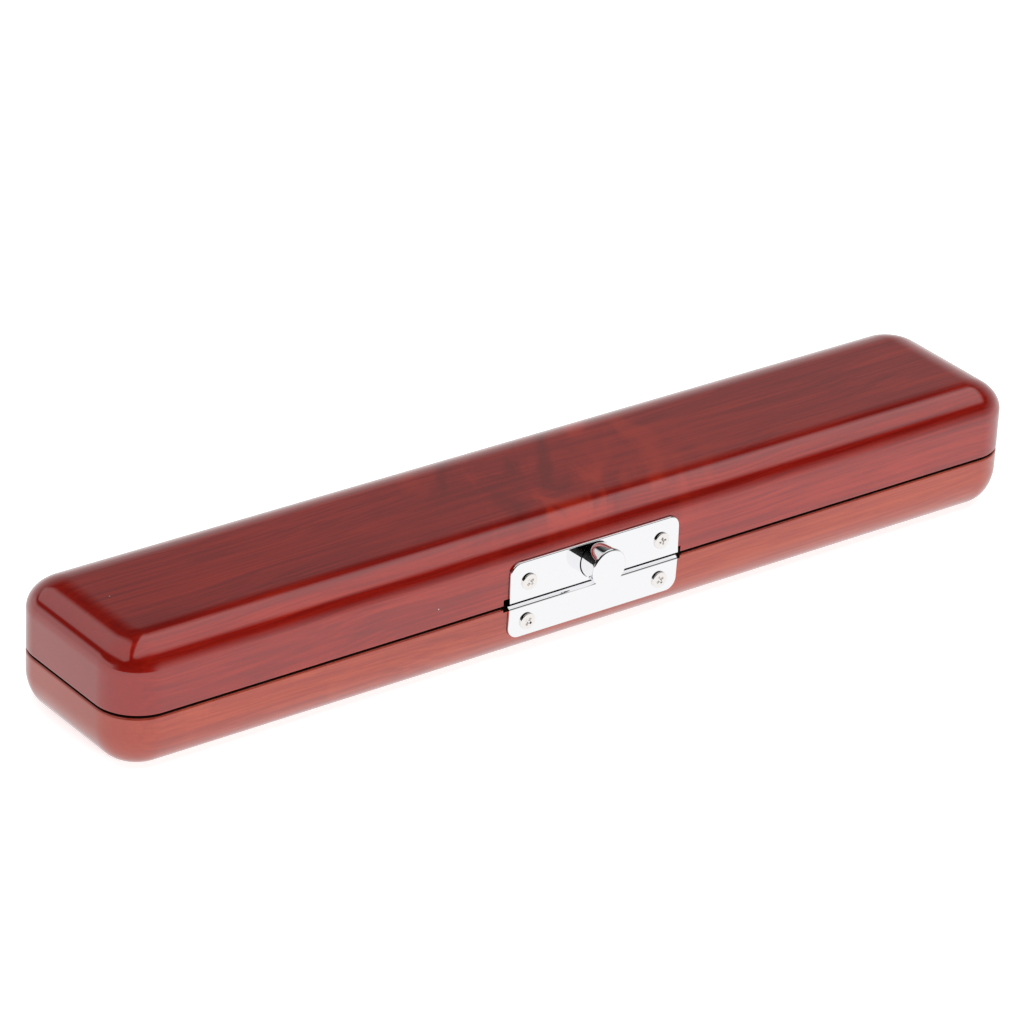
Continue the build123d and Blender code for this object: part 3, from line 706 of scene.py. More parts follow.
def plush():
    """Short dense black pile."""
    material, tree, shader = new_material("black_plush")
    place = object_place(tree)
    tufts = noise_node(tree, place, scale=PLUSH_TUFTS, detail=2.0, roughness=0.7)
    strokes = noise_node(tree, scaled(tree, place, PLUSH_STROKES), distortion=0.6)
    shade_of = math_node(tree, "MULTIPLY_ADD", tufts, 0.6, product(tree, strokes, 0.4))
    colour = blend_colour(tree, spread(tree, shade_of, 0.3, 0.7), PLUSH_DEEP, PLUSH_LIGHT)
    set_inputs(
        shader,
        Base_Color=colour,
        Normal=bump(tree, tufts, 0.7, PLUSH_RELIEF),
        Roughness=0.95,
        Specular_IOR_Level=0.15,
        Sheen_Weight=0.35,
        Sheen_Roughness=0.35,
        Sheen_Tint=PLUSH_SHEEN,
    )
    return material


LID_WOOD = lacquered_wood(
    "lid_lacquer",
    offset=(0.031, 0.017, 0.043),
    deep=(0.185, 0.0055, 0.003, 1),
    middle=(0.29, 0.009, 0.005, 1),
    bright=(0.46, 0.026, 0.009, 1),
    figure_centre=4 * MM,
    figure_reach=48 * MM,
)
BASE_WOOD = lacquered_wood(
    "base_lacquer",
    offset=(0.4, 0.21, 0.13),
    deep=(0.27, 0.026, 0.013, 1),
    middle=(0.38, 0.042, 0.02, 1),
    bright=(0.53, 0.08, 0.028, 1),
    figure_centre=-90 * MM,
    figure_reach=60 * MM,
)
CHROME = polished_metal("bright_chrome", (0.93, 0.93, 0.945, 1), 0.025, 0.03)
SCREW_NICKEL = polished_metal("screw_nickel", (0.9, 0.865, 0.84, 1), 0.1, 0.08)
HINGE_NICKEL = polished_metal("hinge_nickel", (0.78, 0.75, 0.7, 1), 0.14, 0.1, (9000, 500, 500), 0.08)
INNER_STEEL = polished_metal("inner_steel", (0.56, 0.56, 0.57, 1), 0.28, 0.12, (500, 500, 9000), 0.15)
SPRING_STEEL = polished_metal("spring_steel", (0.33, 0.34, 0.38, 1), 0.2, 0.1)
BLACK_PLUSH = plush()


# Wooden case

def half_profile(height, curve_in, curve_up, roof, rim_round):
    """Section of a case half standing on its rim, from the hollow's far edge round to the outer face.
    First value outwards from a corner's centre, second value up from the rim."""
    outer = PLAN_CORNER
    inner = PLAN_CORNER - WALL
    hollow = height - roof
    flank = height - curve_up
    points = arc_points(
        (inner - CAVITY_FILLET, hollow - CAVITY_FILLET), (CAVITY_FILLET, CAVITY_FILLET),
        90, 0, CURVE_STEPS // 2,
    )
    points.append((inner, hollow - CAVITY_FILLET - FLAT_SUPPORT))
    points.append((inner, INNER_RIM_ROUND + FLAT_SUPPORT))
    points += arc_points(
        (inner + INNER_RIM_ROUND, INNER_RIM_ROUND), (INNER_RIM_ROUND, INNER_RIM_ROUND),
        180, 270, RIM_STEPS // 2,
    )
    points.append((inner + INNER_RIM_ROUND + FLAT_SUPPORT, 0))
    points.append((outer - rim_round - FLAT_SUPPORT, 0))
    points += arc_points((outer - rim_round, rim_round), (rim_round, rim_round), 270, 360, RIM_STEPS)
    points.append((outer, rim_round + FLAT_SUPPORT))
    points.append((outer, flank - FLAT_SUPPORT))
    points += arc_points((outer - curve_in, flank), (curve_in, curve_up), 0, 90, CURVE_STEPS)
    return points


def swept_round(profile):
    """Sweeps a profile once round the case's plan and closes it at both ends."""
    mesh = bmesh.new()
    corner_x = LID_HIGH.x - PLAN_CORNER
    corner_y = LID_HIGH.y - PLAN_CORNER
    line = [mesh.verts.new((corner_x, -corner_y - out, up)) for out, up in profile]
    geom = line + [mesh.edges.new(ends) for ends in zip(line, line[1:])]
    along_x = (2 * corner_x, 0, 0)
    along_y = (0, 2 * corner_y, 0)
    rounds = [
        (corner_x, -corner_y, Vector(along_y)),
        (corner_x, corner_y, -Vector(along_x)),
        (-corner_x, corner_y, -Vector(along_y)),
        (-corner_x, -corner_y, Vector(along_x)),
    ]
    for x, y, run in rounds:
        turned = bmesh.ops.spin(
            mesh, geom=geom, cent=(x, y, 0), axis=(0, 0, 1), angle=math.pi / 2, steps=CORNER_STEPS
        )
        straight = bmesh.ops.spin(
            mesh, geom=turned["geom_last"], cent=(0, 0, 0), axis=(0, 0, 1), dvec=run, angle=0, steps=1
        )
        geom = straight["geom_last"]
    bmesh.ops.remove_doubles(mesh, verts=mesh.verts, dist=TINY)
    open_edges = [e for e in mesh.edges if e.is_boundary]
    caps = bmesh.ops.edgeloop_fill(mesh, edges=open_edges)["faces"]
    bmesh.ops.inset_region(mesh, faces=caps, thickness=FLAT_SUPPORT)
    return mesh


def latch_cutters(room_low, room_high, seat_low, seat_high, round_z, notch_low, notch_high):
    """What is cut from a case half for a latch plate: its seat, its notch in the rim, and the room behind."""
    seat_half = LATCH_HALF + SEAT_CLEARANCE
    notch_half = LATCH_HALF + NOTCH_BEYOND
    through_y = FRONT_Y + WALL + BEYOND
    seat = box_mesh(
        (LATCH_X - seat_half, FRONT_Y - BEYOND, seat_low), (LATCH_X + seat_half, PLATE_BACK_Y, seat_high)
    )
    round_edges(seat, corners_at(seat, round_z), PLATE_CORNER + SEAT_CLEARANCE, PLATE_CORNER_STEPS)
    return [
        seat,
        box_mesh(
            (LATCH_X - notch_half, FRONT_Y - BEYOND, notch_low), (LATCH_X + notch_half, through_y, notch_high)
        ),
        box_mesh(room_low, room_high),
    ]


def pair(middle, apart):
    """Two places, one each side of a middle."""
    return [middle - apart / 2, middle + apart / 2]


def latch_screw_xs():
    return pair(LATCH_X, LATCH_SCREW_SPREAD)


def hinge_boxes(leaf):
    return [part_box(f"hinge_{side}_{leaf}_leaf") for side in ("left", "right")]


def hinge_screw_xs():
    xs = []
    for low, high in hinge_boxes("lid"):
        xs += pair((low.x + high.x) / 2, HINGE_SCREW_SPREAD)
    return xs


def leaf_face_y():
    """The back face of the hinge leaves, where their screw heads sit."""
    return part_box("hinge_lid_screws")[1].y - HINGE_SCREW["head_tall"]


def pilot_cutters(latch_z, hinge_z):
    """Pilot holes of the latch and hinge screws in one case half."""
    cutters = []
    radius = LATCH_SCREW["shank_radius"] + PILOT_PLAY
    deep = UPPER_LOW.y + LATCH_SCREW["reach"] + PILOT_PLAY
    for x in latch_screw_xs():
        cutters.append(rod_mesh(radius, (x, FRONT_Y - BEYOND, latch_z), (x, deep, latch_z), PILOT_SIDES))
    radius = HINGE_SCREW["shank_radius"] + PILOT_PLAY
    deep = leaf_face_y() - HINGE_SCREW["reach"] - PILOT_PLAY
    for x in hinge_screw_xs():
        cutters.append(rod_mesh(radius, (x, deep, hinge_z), (x, BACK_Y + BEYOND, hinge_z), PILOT_SIDES))
    return cutters


def hinge_seat_cutters(leaf, low_z, high_z):
    cutters = []
    for low, high in hinge_boxes(leaf):
        seat_low = (low.x - SEAT_CLEARANCE, BACK_Y - HINGE_SINK, low_z)
        cutters.append(box_mesh(seat_low, (high.x + SEAT_CLEARANCE, BACK_Y + BEYOND, high_z)))
    return cutters


def screw_height(node):
    low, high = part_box(node)
    return (low.z + high.z) / 2


def case_half(body, material, profile, rim_z, upwards, cutters):
    """One half of the wooden case, swept round on its rim and cut for its fittings."""
    mesh = swept_round([(out, rim_z + upwards * up) for out, up in profile])
    piece = as_piece(body + "_wood", mesh, material)
    cut_away(piece, cutters)
    shade(piece)
    dress(piece, body, "lacquered_wood", body + "_shell")


def lid_wood():
    profile = half_profile(LID_TALL, LID_CURVE_IN, LID_CURVE_UP, LID_ROOF, LID_RIM_ROUND)
    flange_top = UPPER_LOW.z + PLATE_THICKNESS
    cutters = latch_cutters(
        (HOUSING_LOW.x - ROOM_CLEARANCE, FRONT_Y - BEYOND, PARTING_Z),
        (HOUSING_HIGH.x + ROOM_CLEARANCE, FRONT_Y + WALL + BEYOND, HOUSING_HIGH.z + ROOM_CLEARANCE),
        LID_RIM_Z - BEYOND, UPPER_HIGH.z + SEAT_CLEARANCE, UPPER_HIGH.z + SEAT_CLEARANCE,
        LID_RIM_Z - BEYOND, flange_top,
    )
    leaf_top = hinge_boxes("lid")[0][1].z
    cutters += hinge_seat_cutters("lid", LID_RIM_Z - BEYOND, leaf_top + SEAT_CLEARANCE)
    cutters += pilot_cutters(UPPER_SCREW_Z, screw_height("hinge_lid_screws"))
    case_half("lid", LID_WOOD, profile, LID_RIM_Z, 1, cutters)


def base_wood():
    profile = half_profile(BASE_TALL, BASE_CURVE_IN, BASE_CURVE_UP, BASE_FLOOR, BASE_RIM_ROUND)
    flange_foot = LOWER_HIGH.z - PLATE_THICKNESS
    cutters = latch_cutters(
        (STRIKE_LOW.x - SLOT_CLEARANCE, STRIKE_LOW.y - SLOT_CLEARANCE, STRIKE_LOW.z - ROOM_CLEARANCE),
        (STRIKE_HIGH.x + SLOT_CLEARANCE, FRONT_Y + WALL + BEYOND, BASE_RIM_Z + BEYOND),
        LOWER_LOW.z - SEAT_CLEARANCE, BASE_RIM_Z + BEYOND, LOWER_LOW.z - SEAT_CLEARANCE,
        flange_foot, BASE_RIM_Z + BEYOND,
    )
    leaf_foot = hinge_boxes("base")[0][0].z
    cutters += hinge_seat_cutters("base", leaf_foot - SEAT_CLEARANCE, BASE_RIM_Z + BEYOND)
    cutters += pilot_cutters(LOWER_SCREW_Z, screw_height("hinge_base_screws"))
    case_half("base", BASE_WOOD, profile, BASE_RIM_Z, -1, cutters)


# Lining

def lining_block(low, high, far_z):
    """The lining before the trough is pressed in: round corners, a large round along its far edge.
    It is split along X and along Y. Unsplit, the lid's trough closes over when the mesh is evened."""
    mesh = box_mesh(low, high)
    corner = PLAN_CORNER - WALL - LINING_CLEARANCE
    upright = [e for e in mesh.edges if extent(e, Z) > BEYOND]
    round_edges(mesh, upright, corner, 8)
    far = edges_where(mesh, lambda co: abs(co.z - far_z) < TINY)
    round_edges(mesh, far, CAVITY_FILLET - LINING_CLEARANCE, 6)
    open_side = edges_where(mesh, lambda co: abs(co.z - far_z) > abs(high.z - low.z) - TINY)
    round_edges(mesh, open_side, LINING_EDGE, 4)
    for across in ((1, 0, 0), (0, 1, 0)):
        bmesh.ops.bisect_plane(mesh, geom=whole(mesh), plane_co=(0, 0, 0), plane_no=across)
    return mesh


def head_joint_cutters():
    """Room for the head joint's tube and for its lip plate, rounded at all edges."""
    half = TROUGH_LENGTH / 2
    tube = rod_mesh(TROUGH_RADIUS, (-half, 0, PARTING_Z), (half, 0, PARTING_Z), TROUGH_SIDES)
    round_edges(tube, tube.edges[:], LINING_EDGE, 3)
    pocket = box_mesh(
        (LIP_POCKET_X - LIP_POCKET_LENGTH / 2, -LIP_POCKET_FRONT, PARTING_Z - LIP_POCKET_DEPTH),
        (LIP_POCKET_X + LIP_POCKET_LENGTH / 2, LIP_POCKET_BACK, PARTING_Z + LIP_POCKET_DEPTH),
    )
    round_edges(pocket, pocket.edges[:], LIP_POCKET_FILLET, 6)
    return [tube, pocket]


def plush_lining(name, body, far_z, foam, velvet, extra_cutters):
    """One plush covered foam cradle: blocked out, pressed, then softened all over."""
    foam_low, foam_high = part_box(foam)
    velvet_low, velvet_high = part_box(velvet)
    low = Vector([min(a, b) for a, b in zip(foam_low, velvet_low)])
    high = Vector([max(a, b) for a, b in zip(foam_high, velvet_high)])
    piece = as_piece(name, lining_block(low, high, high.z if far_z > 0 else low.z), BLACK_PLUSH)
    cut_away(piece, head_joint_cutters() + extra_cutters, "MANIFOLD")
    remesh = piece.modifiers.new("even mesh", "REMESH")
    remesh.mode = "VOXEL"
    remesh.voxel_size = LINING_VOXEL
    bake_modifiers(piece)
    mesh = bmesh.new()
    mesh.from_mesh(piece.data)
    for _ in range(SOFTENING_PASSES):
        bmesh.ops.smooth_vert(
            mesh, verts=mesh.verts, factor=0.5, use_axis_x=True, use_axis_y=True, use_axis_z=True
        )
    mesh.normal_update()
    for vert in mesh.verts:
        pile = noise.noise(vert.co * PILE_COARSE) * 0.6 + noise.noise(vert.co * PILE_FINE) * 0.4
        vert.co += vert.normal * PILE_HEIGHT * (pile - 1)
    mesh.to_mesh(piece.data)
    mesh.free()
    piece.data.materials.clear()
    piece.data.materials.append(BLACK_PLUSH)
    piece.data.shade_smooth()
    dress(piece, body, "plush", foam, velvet)


def linings():
    plush_lining("base_plush", "base", -1, "base_foam", "base_velvet", [])
    housing_room = box_mesh(
        (HOUSING_LOW.x - ROOM_CLEARANCE, FRONT_Y, PARTING_Z - BEYOND),
        (HOUSING_HIGH.x + ROOM_CLEARANCE, RIVETS_HIGH.y + ROOM_CLEARANCE, HOUSING_HIGH.z + ROOM_CLEARANCE),
    )
    plush_lining("lid_plush", "lid", 1, "lid_foam", "lid_velvet", [housing_room])


# Latch

def plate_mesh(low, high, round_z, flange_low, flange_high, bevel_tall, bevel_deep):
    """Latch plate: two round corners away from the joint, softened front outline, flange along the rim.
    The long front edge next to the joint is bevelled, with both edges of the bevel slightly round."""
    back_y = low.y + PLATE_THICKNESS
    mesh = box_mesh(low, (high.x, back_y, high.z))
    joint_z = low.z + high.z - round_z
    round_edges(mesh, corners_at(mesh, round_z), PLATE_CORNER, PLATE_CORNER_STEPS)
    joint_line = edges_where(mesh, lambda co: abs(co.z - joint_z) < TINY and abs(co.y - low.y) < TINY)
    round_edges(mesh, joint_line, bevel_deep, 1)
    inwards = -1 if joint_z > round_z else 1
    for vert in mesh.verts:
        if abs(vert.co.y - low.y) < TINY and abs(vert.co.z - joint_z) < bevel_deep + TINY:
            vert.co.z = joint_z + inwards * bevel_tall
    bevel_z = joint_z + inwards * bevel_tall
    long_lines = [e for e in mesh.edges if extent(e, X) > WALL]
    back_line = [e for e in long_lines if abs(e.verts[0].co.y - low.y - bevel_deep) < TINY]
    round_edges(mesh, back_line, min(BEVEL_BACK_ROUND, 0.4 * bevel_tall), 4)
    long_lines = [e for e in mesh.edges if extent(e, X) > WALL]
    front_line = [e for e in long_lines if abs(e.verts[0].co.z - bevel_z) < TINY]
    front_round = min(BEVEL_FRONT_ROUND, 0.5 * bevel_tall)
    round_edges(mesh, front_line, front_round, 6)
    mesh.normal_update()
    front = edges_where(mesh, lambda co: abs(co.y - low.y) < TINY)
    joint_tall = bevel_tall + front_round + TINY
    near_joint = [e for e in front if all(abs(v.co.z - joint_z) < joint_tall for v in e.verts)]
    outline = [e for e in front if e not in near_joint and any(abs(f.normal.y) < 0.5 for f in e.link_faces)]
    round_edges(mesh, outline, PLATE_EDGE, 5)
    inner_z = flange_high if abs(flange_low - joint_z) < TINY else flange_low
    bmesh.ops.bisect_plane(mesh, geom=whole(mesh), plane_co=(0, 0, inner_z), plane_no=(0, 0, 1))
    mesh.normal_update()
    middles = [(f, f.calc_center_median()) for f in mesh.faces]
    back = [f for f, at in middles if abs(at.y - back_y) < TINY and flange_low < at.z < flange_high]
    grown = bmesh.ops.extrude_face_region(mesh, geom=back)
    moved = [g for g in grown["geom"] if isinstance(g, bmesh.types.BMVert)]
    bmesh.ops.translate(mesh, verts=moved, vec=(0, high.y - back_y, 0))
    bmesh.ops.delete(mesh, geom=back, context="FACES_ONLY")
    return mesh


def screw_hole_cutters(z):
    radius = LATCH_SCREW["shank_radius"] + SEAT_CLEARANCE
    return [
        rod_mesh(radius, (x, UPPER_LOW.y - BEYOND, z), (x, PLATE_BACK_Y + BEYOND / 2, z), HOLE_SIDES)
        for x in latch_screw_xs()
    ]


def upper_plate():
    flange_top = UPPER_LOW.z + PLATE_THICKNESS
    mesh = plate_mesh(
        UPPER_LOW, UPPER_HIGH, UPPER_HIGH.z, UPPER_LOW.z, flange_top, UPPER_RIM_EDGE, UPPER_RIM_EDGE
    )
    piece = as_piece("latch_upper_plate_chrome", mesh, CHROME)
    hole = rod_mesh(
        BUTTON_NECK_RADIUS + BUTTON_PLAY,
        (LATCH_X, UPPER_LOW.y - BEYOND, BUTTON_Z),
        (LATCH_X, PLATE_BACK_Y + TINY, BUTTON_Z),
        BUTTON_SIDES,
    )
    window = box_mesh(
        (LATCH_X - WINDOW_HALF, PLATE_BACK_Y, UPPER_LOW.z - BEYOND),
        (LATCH_X + WINDOW_HALF, UPPER_HIGH.y + BEYOND, flange_top + BEYOND),
    )
    cut_away(piece, [hole, window] + screw_hole_cutters(UPPER_SCREW_Z))
    dress_chrome(piece, "lid", "latch_upper_plate")


def lower_plate():
    flange_foot = LOWER_HIGH.z - PLATE_THICKNESS
    mesh = plate_mesh(
        LOWER_LOW, LOWER_HIGH, LOWER_LOW.z, flange_foot, LOWER_HIGH.z, LOWER_BEVEL_TALL, LOWER_BEVEL_DEEP
    )
    piece = as_piece("latch_lower_plate_chrome", mesh, CHROME)
    slot = box_mesh(
        (STRIKE_LOW.x - SLOT_CLEARANCE, STRIKE_Y - SLOT_CLEARANCE, flange_foot - BEYOND),
        (STRIKE_HIGH.x + SLOT_CLEARANCE, STRIKE_BACK_Y + SLOT_CLEARANCE, LOWER_HIGH.z + BEYOND),
    )
    cut_away(piece, [slot] + rivet_hole_cutters() + screw_hole_cutters(LOWER_SCREW_Z))
    dress_chrome(piece, "base", "latch_lower_plate")


def rivet_hole_cutters():
    """Holes for the two strike rivets, with room for their sunk heads."""
    low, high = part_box("strike_rivets")
    y = (low.y + high.y) / 2
    cutters = []
    for x in pair(LATCH_X, RIVET_SPREAD):
        foot = (x, y, LOWER_HIGH.z - PLATE_THICKNESS - BEYOND)
        seat = (x, y, LOWER_HIGH.z - RIVET_HEAD)
        top = (x, y, LOWER_HIGH.z + BEYOND)
        cutters.append(rod_mesh(RIVET_RADIUS + RIVET_PLAY, foot, top, PILOT_SIDES))
        cutters.append(rod_mesh(RIVET_HEAD_RADIUS + RIVET_PLAY, seat, top, HOLE_SIDES))
    return cutters


def push_button():
    """Turned button, a little wider at its softened front, with two ears behind the plate and a stem."""
    front_y = BUTTON_LOW.y
    ear_y = PLATE_BACK_Y + BUTTON_EAR_GAP
    ear_end_y = ear_y + BUTTON_EAR_THICKNESS
    proud = UPPER_LOW.y - front_y
    flare = (BUTTON_RADIUS - BUTTON_NECK_RADIUS) / proud
    edge_radius = BUTTON_RADIUS - flare * BUTTON_EDGE
    supported = BUTTON_EDGE + FLAT_SUPPORT
    outline = [(0, front_y), (edge_radius - supported, front_y)]
    outline += arc_points(
        (edge_radius - BUTTON_EDGE, front_y + BUTTON_EDGE), (BUTTON_EDGE, BUTTON_EDGE), 270, 360, 8
    )
    outline += [
        (BUTTON_RADIUS - flare * supported, front_y + supported),
        (BUTTON_NECK_RADIUS, UPPER_LOW.y),
        (BUTTON_NECK_RADIUS, ear_end_y),
        (BUTTON_STEM_RADIUS, ear_end_y),
        (BUTTON_STEM_RADIUS, BUTTON_HIGH.y),
        (0, BUTTON_HIGH.y),
    ]
    mesh = turned_mesh(outline, BUTTON_SIDES)
    place = Matrix.Translation((LATCH_X, 0, BUTTON_Z)) @ Matrix.Rotation(math.radians(-90), 4, "X")
    bmesh.ops.transform(mesh, matrix=place, verts=mesh.verts)
    piece = as_piece("push_button_chrome", mesh, CHROME)
    ear_radius = (BUTTON_HIGH.x - BUTTON_LOW.x) / 2
    ears = rod_mesh(ear_radius, (LATCH_X, ear_y, BUTTON_Z), (LATCH_X, ear_end_y, BUTTON_Z))
    for side in (-1, 1):
        edge = (0, 0, BUTTON_Z + side * BUTTON_EAR_TALL / 2)
        cut = bmesh.ops.bisect_plane(
            ears, geom=whole(ears), plane_co=edge, plane_no=(0, 0, side), clear_outer=True
        )
        rim = [g for g in cut["geom_cut"] if isinstance(g, bmesh.types.BMEdge)]
        bmesh.ops.edgeloop_fill(ears, edges=rim)
    bmesh.ops.recalc_face_normals(ears, faces=ears.faces)
    combine(piece, ears, "UNION")
    dress_chrome(piece, "button", "push_button")


def turned_mesh(outline, steps):
    """Turns an outline of (radius, height) points once about the Z axis."""
    mesh = bmesh.new()
    line = [mesh.verts.new((radius, 0, height)) for radius, height in outline]
    geom = line + [mesh.edges.new(ends) for ends in zip(line, line[1:])]
    bmesh.ops.spin(
        mesh, geom=geom, cent=(0, 0, 0), axis=(0, 0, 1), angle=2 * math.pi, steps=steps, use_merge=True
    )
    bmesh.ops.remove_doubles(mesh, verts=mesh.verts, dist=TINY / 10)
    return mesh


# Screws

def cross_screw(
    head_radius, head_tall, head_side, shank_radius, reach, cross_length, cross_width, cross_depth
):
    """Pan head screw along -Z with its head's underside at z = 0 and a tapered cross recess."""
    dome = head_tall - head_side
    outline = [(0, head_tall)]
    outline += [
        (head_radius * math.sin(angle) ** 0.5, head_side + dome * math.cos(angle) ** 0.5)
        for angle in [math.radians(90 * i / SCREW_DOME_STEPS) for i in range(1, SCREW_DOME_STEPS)]
    ]
    outline += [
        (head_radius, head_side),
        (head_radius, SCREW_HEAD_CHAMFER),
        (head_radius - SCREW_HEAD_CHAMFER, 0),
        (shank_radius, 0),
        (shank_radius, shank_radius - reach),
        (SCREW_TIP_RADIUS, -reach),
        (0, -reach),
    ]
    mesh = turned_mesh(outline, SCREW_SIDES)
    for turn in (0, 90):
        turned = Matrix.Rotation(math.radians(turn), 3, "Z")
        across = turned @ Vector((1, 0, 0))
        for side in (-cross_width, cross_width, -cross_length, cross_length):
            geom = [g for g in whole(mesh) if in_head(g, head_side)]
            place = turned @ Vector((side, 0, 0))
            bmesh.ops.bisect_plane(mesh, geom=geom, plane_co=place, plane_no=across)
    mesh.normal_update()
    upward = [f for f in mesh.faces if f.normal.z > 0.3]
    recess = [f for f in upward if in_cross(f.calc_center_median(), cross_length, cross_width)]
    grown = bmesh.ops.extrude_face_region(mesh, geom=recess)
    moved = [g for g in grown["geom"] if isinstance(g, bmesh.types.BMVert)]
    bmesh.ops.delete(mesh, geom=recess, context="FACES_ONLY")
    for vert in moved:
        in_arm = math.hypot(vert.co.x, vert.co.y) > cross_width * 1.6
        taper, depth = (0.8, 0.75) if in_arm else (0.9, 1.0)
        vert.co.x *= taper
        vert.co.y *= taper
        vert.co.z = head_tall - cross_depth * depth
    return mesh


def in_head(geom, head_side):
    verts = [geom] if isinstance(geom, bmesh.types.BMVert) else geom.verts
    return all(v.co.z > head_side - TINY for v in verts)


def in_cross(place, length, width):
    near, far = sorted((abs(place.x), abs(place.y)))
    return near < width and far < length


def screw_group(name, body, node, sizes, places, turn, spins):
    """Screws of one kind as one piece. Each has its own turn of the cross."""
    group = bmesh.new()
    facing = Matrix.Rotation(math.radians(turn), 4, "X")
    for place, spin in zip(places, spins):
        screw = cross_screw(**sizes)
        matrix = Matrix.Translation(place) @ facing @ Matrix.Rotation(math.radians(spin), 4, "Z")
        bmesh.ops.transform(screw, matrix=matrix, verts=screw.verts)
        data = bpy.data.meshes.new("screw")
        screw.to_mesh(data)
        screw.free()
        group.from_mesh(data)
        bpy.data.meshes.remove(data)
    piece = as_piece(name, group, SCREW_NICKEL, sharp=38)
    dress(piece, body, "screw_nickel", node)


def all_screws():
    rows = (("upper", "lid", UPPER_SCREW_Z, (38, 12)), ("lower", "base", LOWER_SCREW_Z, (52, 31)))
    for row, body, z, spins in rows:
        places = [(x, UPPER_LOW.y, z) for x in latch_screw_xs()]
        node = f"latch_{row}_screws"
        screw_group(f"latch_{row}_screw_heads", body, node, LATCH_SCREW, places, 90, spins)
    for body in ("lid", "base"):
        node = f"hinge_{body}_screws"
        places = [(x, leaf_face_y(), screw_height(node)) for x in hinge_screw_xs()]
        screw_group(node + "_heads", body, node, HINGE_SCREW, places, -90, (15, 62, 40, 80))


# Hinges and the steel parts of the latch

def dressed_nodes():
    """Small turned and folded parts keep their modelled shape, with smooth round faces."""
    for side in ("left", "right"):
        for part, body in (("lid_leaf", "lid"), ("base_leaf", "base"), ("pin", "base")):
            node = f"hinge_{side}_{part}"
            dress(smooth_copy(node, HINGE_NICKEL), body, "hinge_plate", node)
    steel = {"lid": ("latch_housing", "catch_rivets"), "base": ("strike_hook", "strike_rivets")}
    for body, nodes in steel.items():
        for node in nodes:
            dress(smooth_copy(node, INNER_STEEL), body, "inner_steel", node)


def catch_spring():
    """The catch's leaf spring, a smooth copy of its modelled shape."""
    piece = smooth_copy("catch_spring", SPRING_STEEL)
    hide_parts("catch_spring")
    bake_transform(piece)


lid_wood()
base_wood()
linings()
upper_plate()
lower_plate()
push_button()
all_screws()
dressed_nodes()
catch_spring()


# Studio: pale floor, surroundings bright near the floor, two soft panels overhead, the photograph's angle

def camera():
    """Looks at the case's parting plane from the angle of the photograph, with its slight roll."""
    a, e, roll = CAMERA_AZIMUTH, CAMERA_ELEVATION, CAMERA_ROLL
    back = Vector((math.sin(a) * math.cos(e), -math.cos(a) * math.cos(e), math.sin(e)))
    right = Vector((math.cos(a), math.sin(a), 0))
    up = back.cross(right)
    right, up = (
        math.cos(roll) * right + math.sin(roll) * up,
        -math.sin(roll) * right + math.cos(roll) * up,
    )
    place = Vector((0, 0, PARTING_Z)) + back * CAMERA_DISTANCE + right * CAMERA_RIGHT + up * CAMERA_UP
    turn = Matrix((right, up, back)).transposed().to_4x4()
    data = bpy.data.cameras.new("camera")
    data.sensor_width = SENSOR
    data.lens = FOCAL_PIXELS / IMAGE_PIXELS * SENSOR
    data.clip_start = 0.05
    data.clip_end = 50
    seen_from = new_object("camera", data)
    seen_from.matrix_world = Matrix.Translation(place) @ turn
    bpy.context.scene.camera = seen_from


def mix_shaders(tree, share, first, second):
    mixed = tree.nodes.new("ShaderNodeMixShader")
    for source, target in zip((share, first.outputs[0], second.outputs[0]), mixed.inputs):
        tree.links.new(source, target)
    return mixed


def floor_material():
    """White floor: it keeps the object's shadow for the camera, and is plain white in reflections."""
    material, tree, shader = new_material("studio_floor")
    output = tree.nodes["Material Output"]
    tree.nodes.remove(shader)
    rays = tree.nodes.new("ShaderNodeLightPath")
    paper = tree.nodes.new("ShaderNodeBsdfDiffuse")
    set_inputs(paper, Color=PAPER)
    lift = tree.nodes.new("ShaderNodeEmission")
    set_inputs(lift, Color=WHITE, Strength=FLOOR_LIFT)
    lifted = tree.nodes.new("ShaderNodeAddShader")
    tree.links.new(paper.outputs[0], lifted.inputs[0])
    tree.links.new(lift.outputs[0], lifted.inputs[1])
    white = tree.nodes.new("ShaderNodeEmission")
    set_inputs(white, Color=WHITE)
    seen = mix_shaders(tree, rays.outputs["Is Camera Ray"], paper, lifted)
    mirrored = math_node(
        tree, "MAXIMUM", rays.outputs["Is Glossy Ray"], rays.outputs["Is Transmission Ray"]
    )
    final = mix_shaders(tree, mirrored, seen, white)
    tree.links.new(final.outputs[0], output.inputs["Surface"])
    return material


def floor():
    mesh = bmesh.new()
    bmesh.ops.create_grid(mesh, x_segments=2, y_segments=2, size=FLOOR_SIZE / 2)
    ground = mesh_object("floor", mesh, floor_material())


def soft_panel(tree, values, limits, radiance):
    """A lit part of the sky. Each value has four limits: the light starts, is full, falls and ends."""
    seen = radiance
    for value, (start, full, fall, end) in zip(values, limits):
        seen = product(tree, seen, spread(tree, value, start, full), spread(tree, value, end, fall))
    return seen


def fill_lamp(name, place, size, energy):
    """A lamp that lights without showing in reflections."""
    data = bpy.data.lights.new(name, "AREA")
    data.shape = "DISK"
    data.size = size
    data.energy = energy
    lamp = new_object(name, data)
    lamp.location = place
    lamp.rotation_euler = Vector(place).to_track_quat("Z", "Y").to_euler()
    lamp.visible_glossy = False


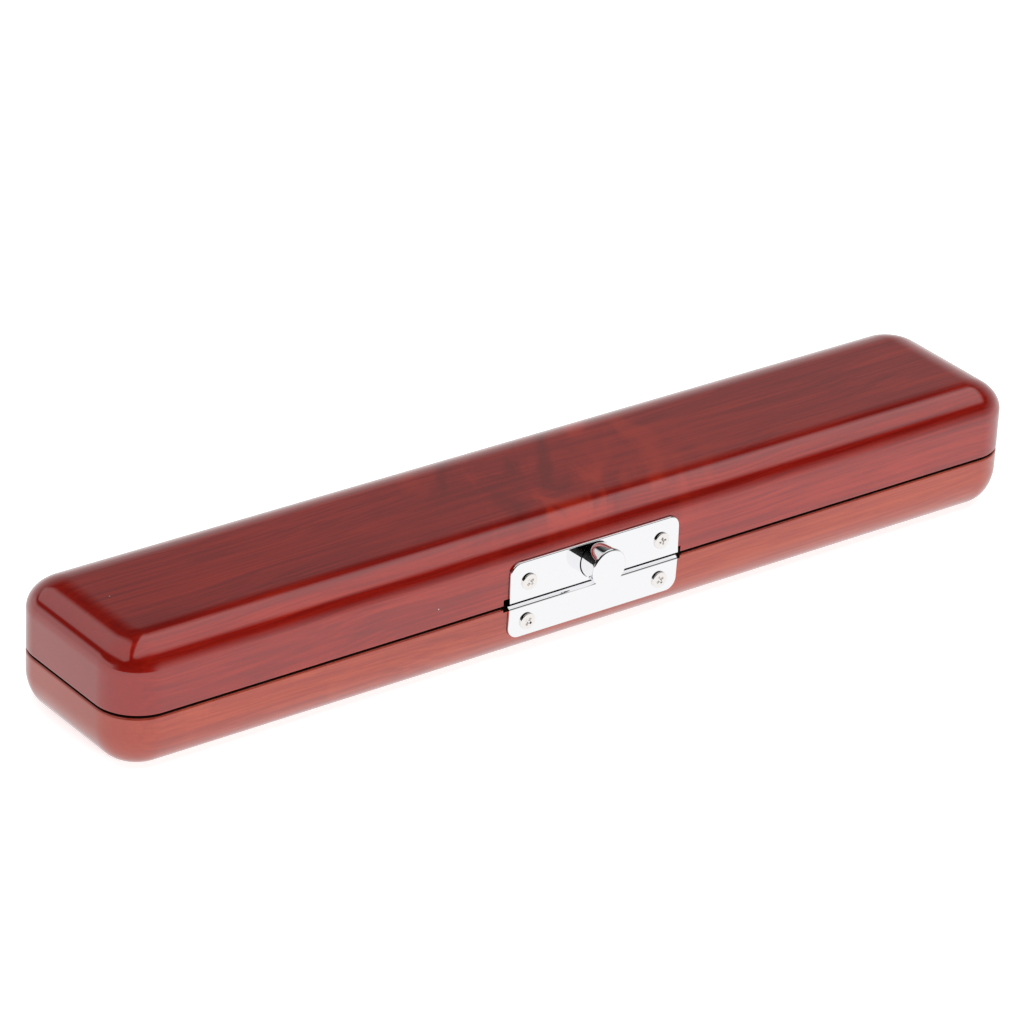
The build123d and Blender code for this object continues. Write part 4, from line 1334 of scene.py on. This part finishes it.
def surroundings():
    """White backdrop for the camera. As light: bright at the floor, two soft panels, else dark."""
    world = bpy.data.worlds.new("studio")
    bpy.context.scene.world = world
    world.use_nodes = True
    tree = world.node_tree
    output = tree.nodes["World Output"]
    shown = tree.nodes["Background"]
    set_inputs(shown, Color=WHITE, Strength=1.0)
    around = tree.nodes.new("ShaderNodeTexCoord").outputs["Generated"]
    x, y, z = axes_of(tree, around)
    glow_top = spread(tree, y, *FRONT_TO_BACK, FRONT_GLOW_TOP, BACK_GLOW_TOP)
    glow = spread(tree, z, 0.0, glow_top, GLOW_BRIGHT, GLOW_DIM, curve="LINEAR")
    low_left = spread(tree, z, *LEFT_GLOW_TOP, GLOW_DIM, GLOW_BRIGHT)
    leftwards = product(tree, spread(tree, x, *TO_LEFT), spread(tree, y, *LEFT_TO_BACK))
    glow = math_node(tree, "MULTIPLY_ADD", leftwards, math_node(tree, "SUBTRACT", low_left, glow), glow)
    heading = vector_node(tree, "NORMALIZE", scaled(tree, around, (1, 1, 0)))
    to_camera = (math.sin(CAMERA_AZIMUTH), -math.cos(CAMERA_AZIMUTH), 0)
    facing = vector_node(tree, "DOT_PRODUCT", heading, to_camera)
    glow = product(tree, glow, spread(tree, facing, *AT_CAMERA, AT_CAMERA_LIGHT, 1.0))
    height = math_node(tree, "MAXIMUM", z, LEAST_HEIGHT)
    across = math_node(tree, "DIVIDE", x, height)
    along = math_node(tree, "DIVIDE", y, height)
    values = (across, along, math_node(tree, "SUBTRACT", along, across))
    for limits, radiance in ((RIGHT_PANEL, RIGHT_PANEL_LIGHT), (LEFT_PANEL, LEFT_PANEL_LIGHT)):
        glow = math_node(tree, "MAXIMUM", glow, soft_panel(tree, values, limits, radiance))
    light = tree.nodes.new("ShaderNodeBackground")
    set_inputs(light, Color=WHITE, Strength=glow)
    rays = tree.nodes.new("ShaderNodeLightPath")
    seen = mix_shaders(tree, rays.outputs["Is Camera Ray"], light, shown)
    tree.links.new(seen.outputs[0], output.inputs["Surface"])


camera()
floor()
fill_lamp("front_fill", *FRONT_FILL)
fill_lamp("top_fill", *TOP_FILL)
surroundings()
bpy.context.scene.view_settings.view_transform = "Standard"
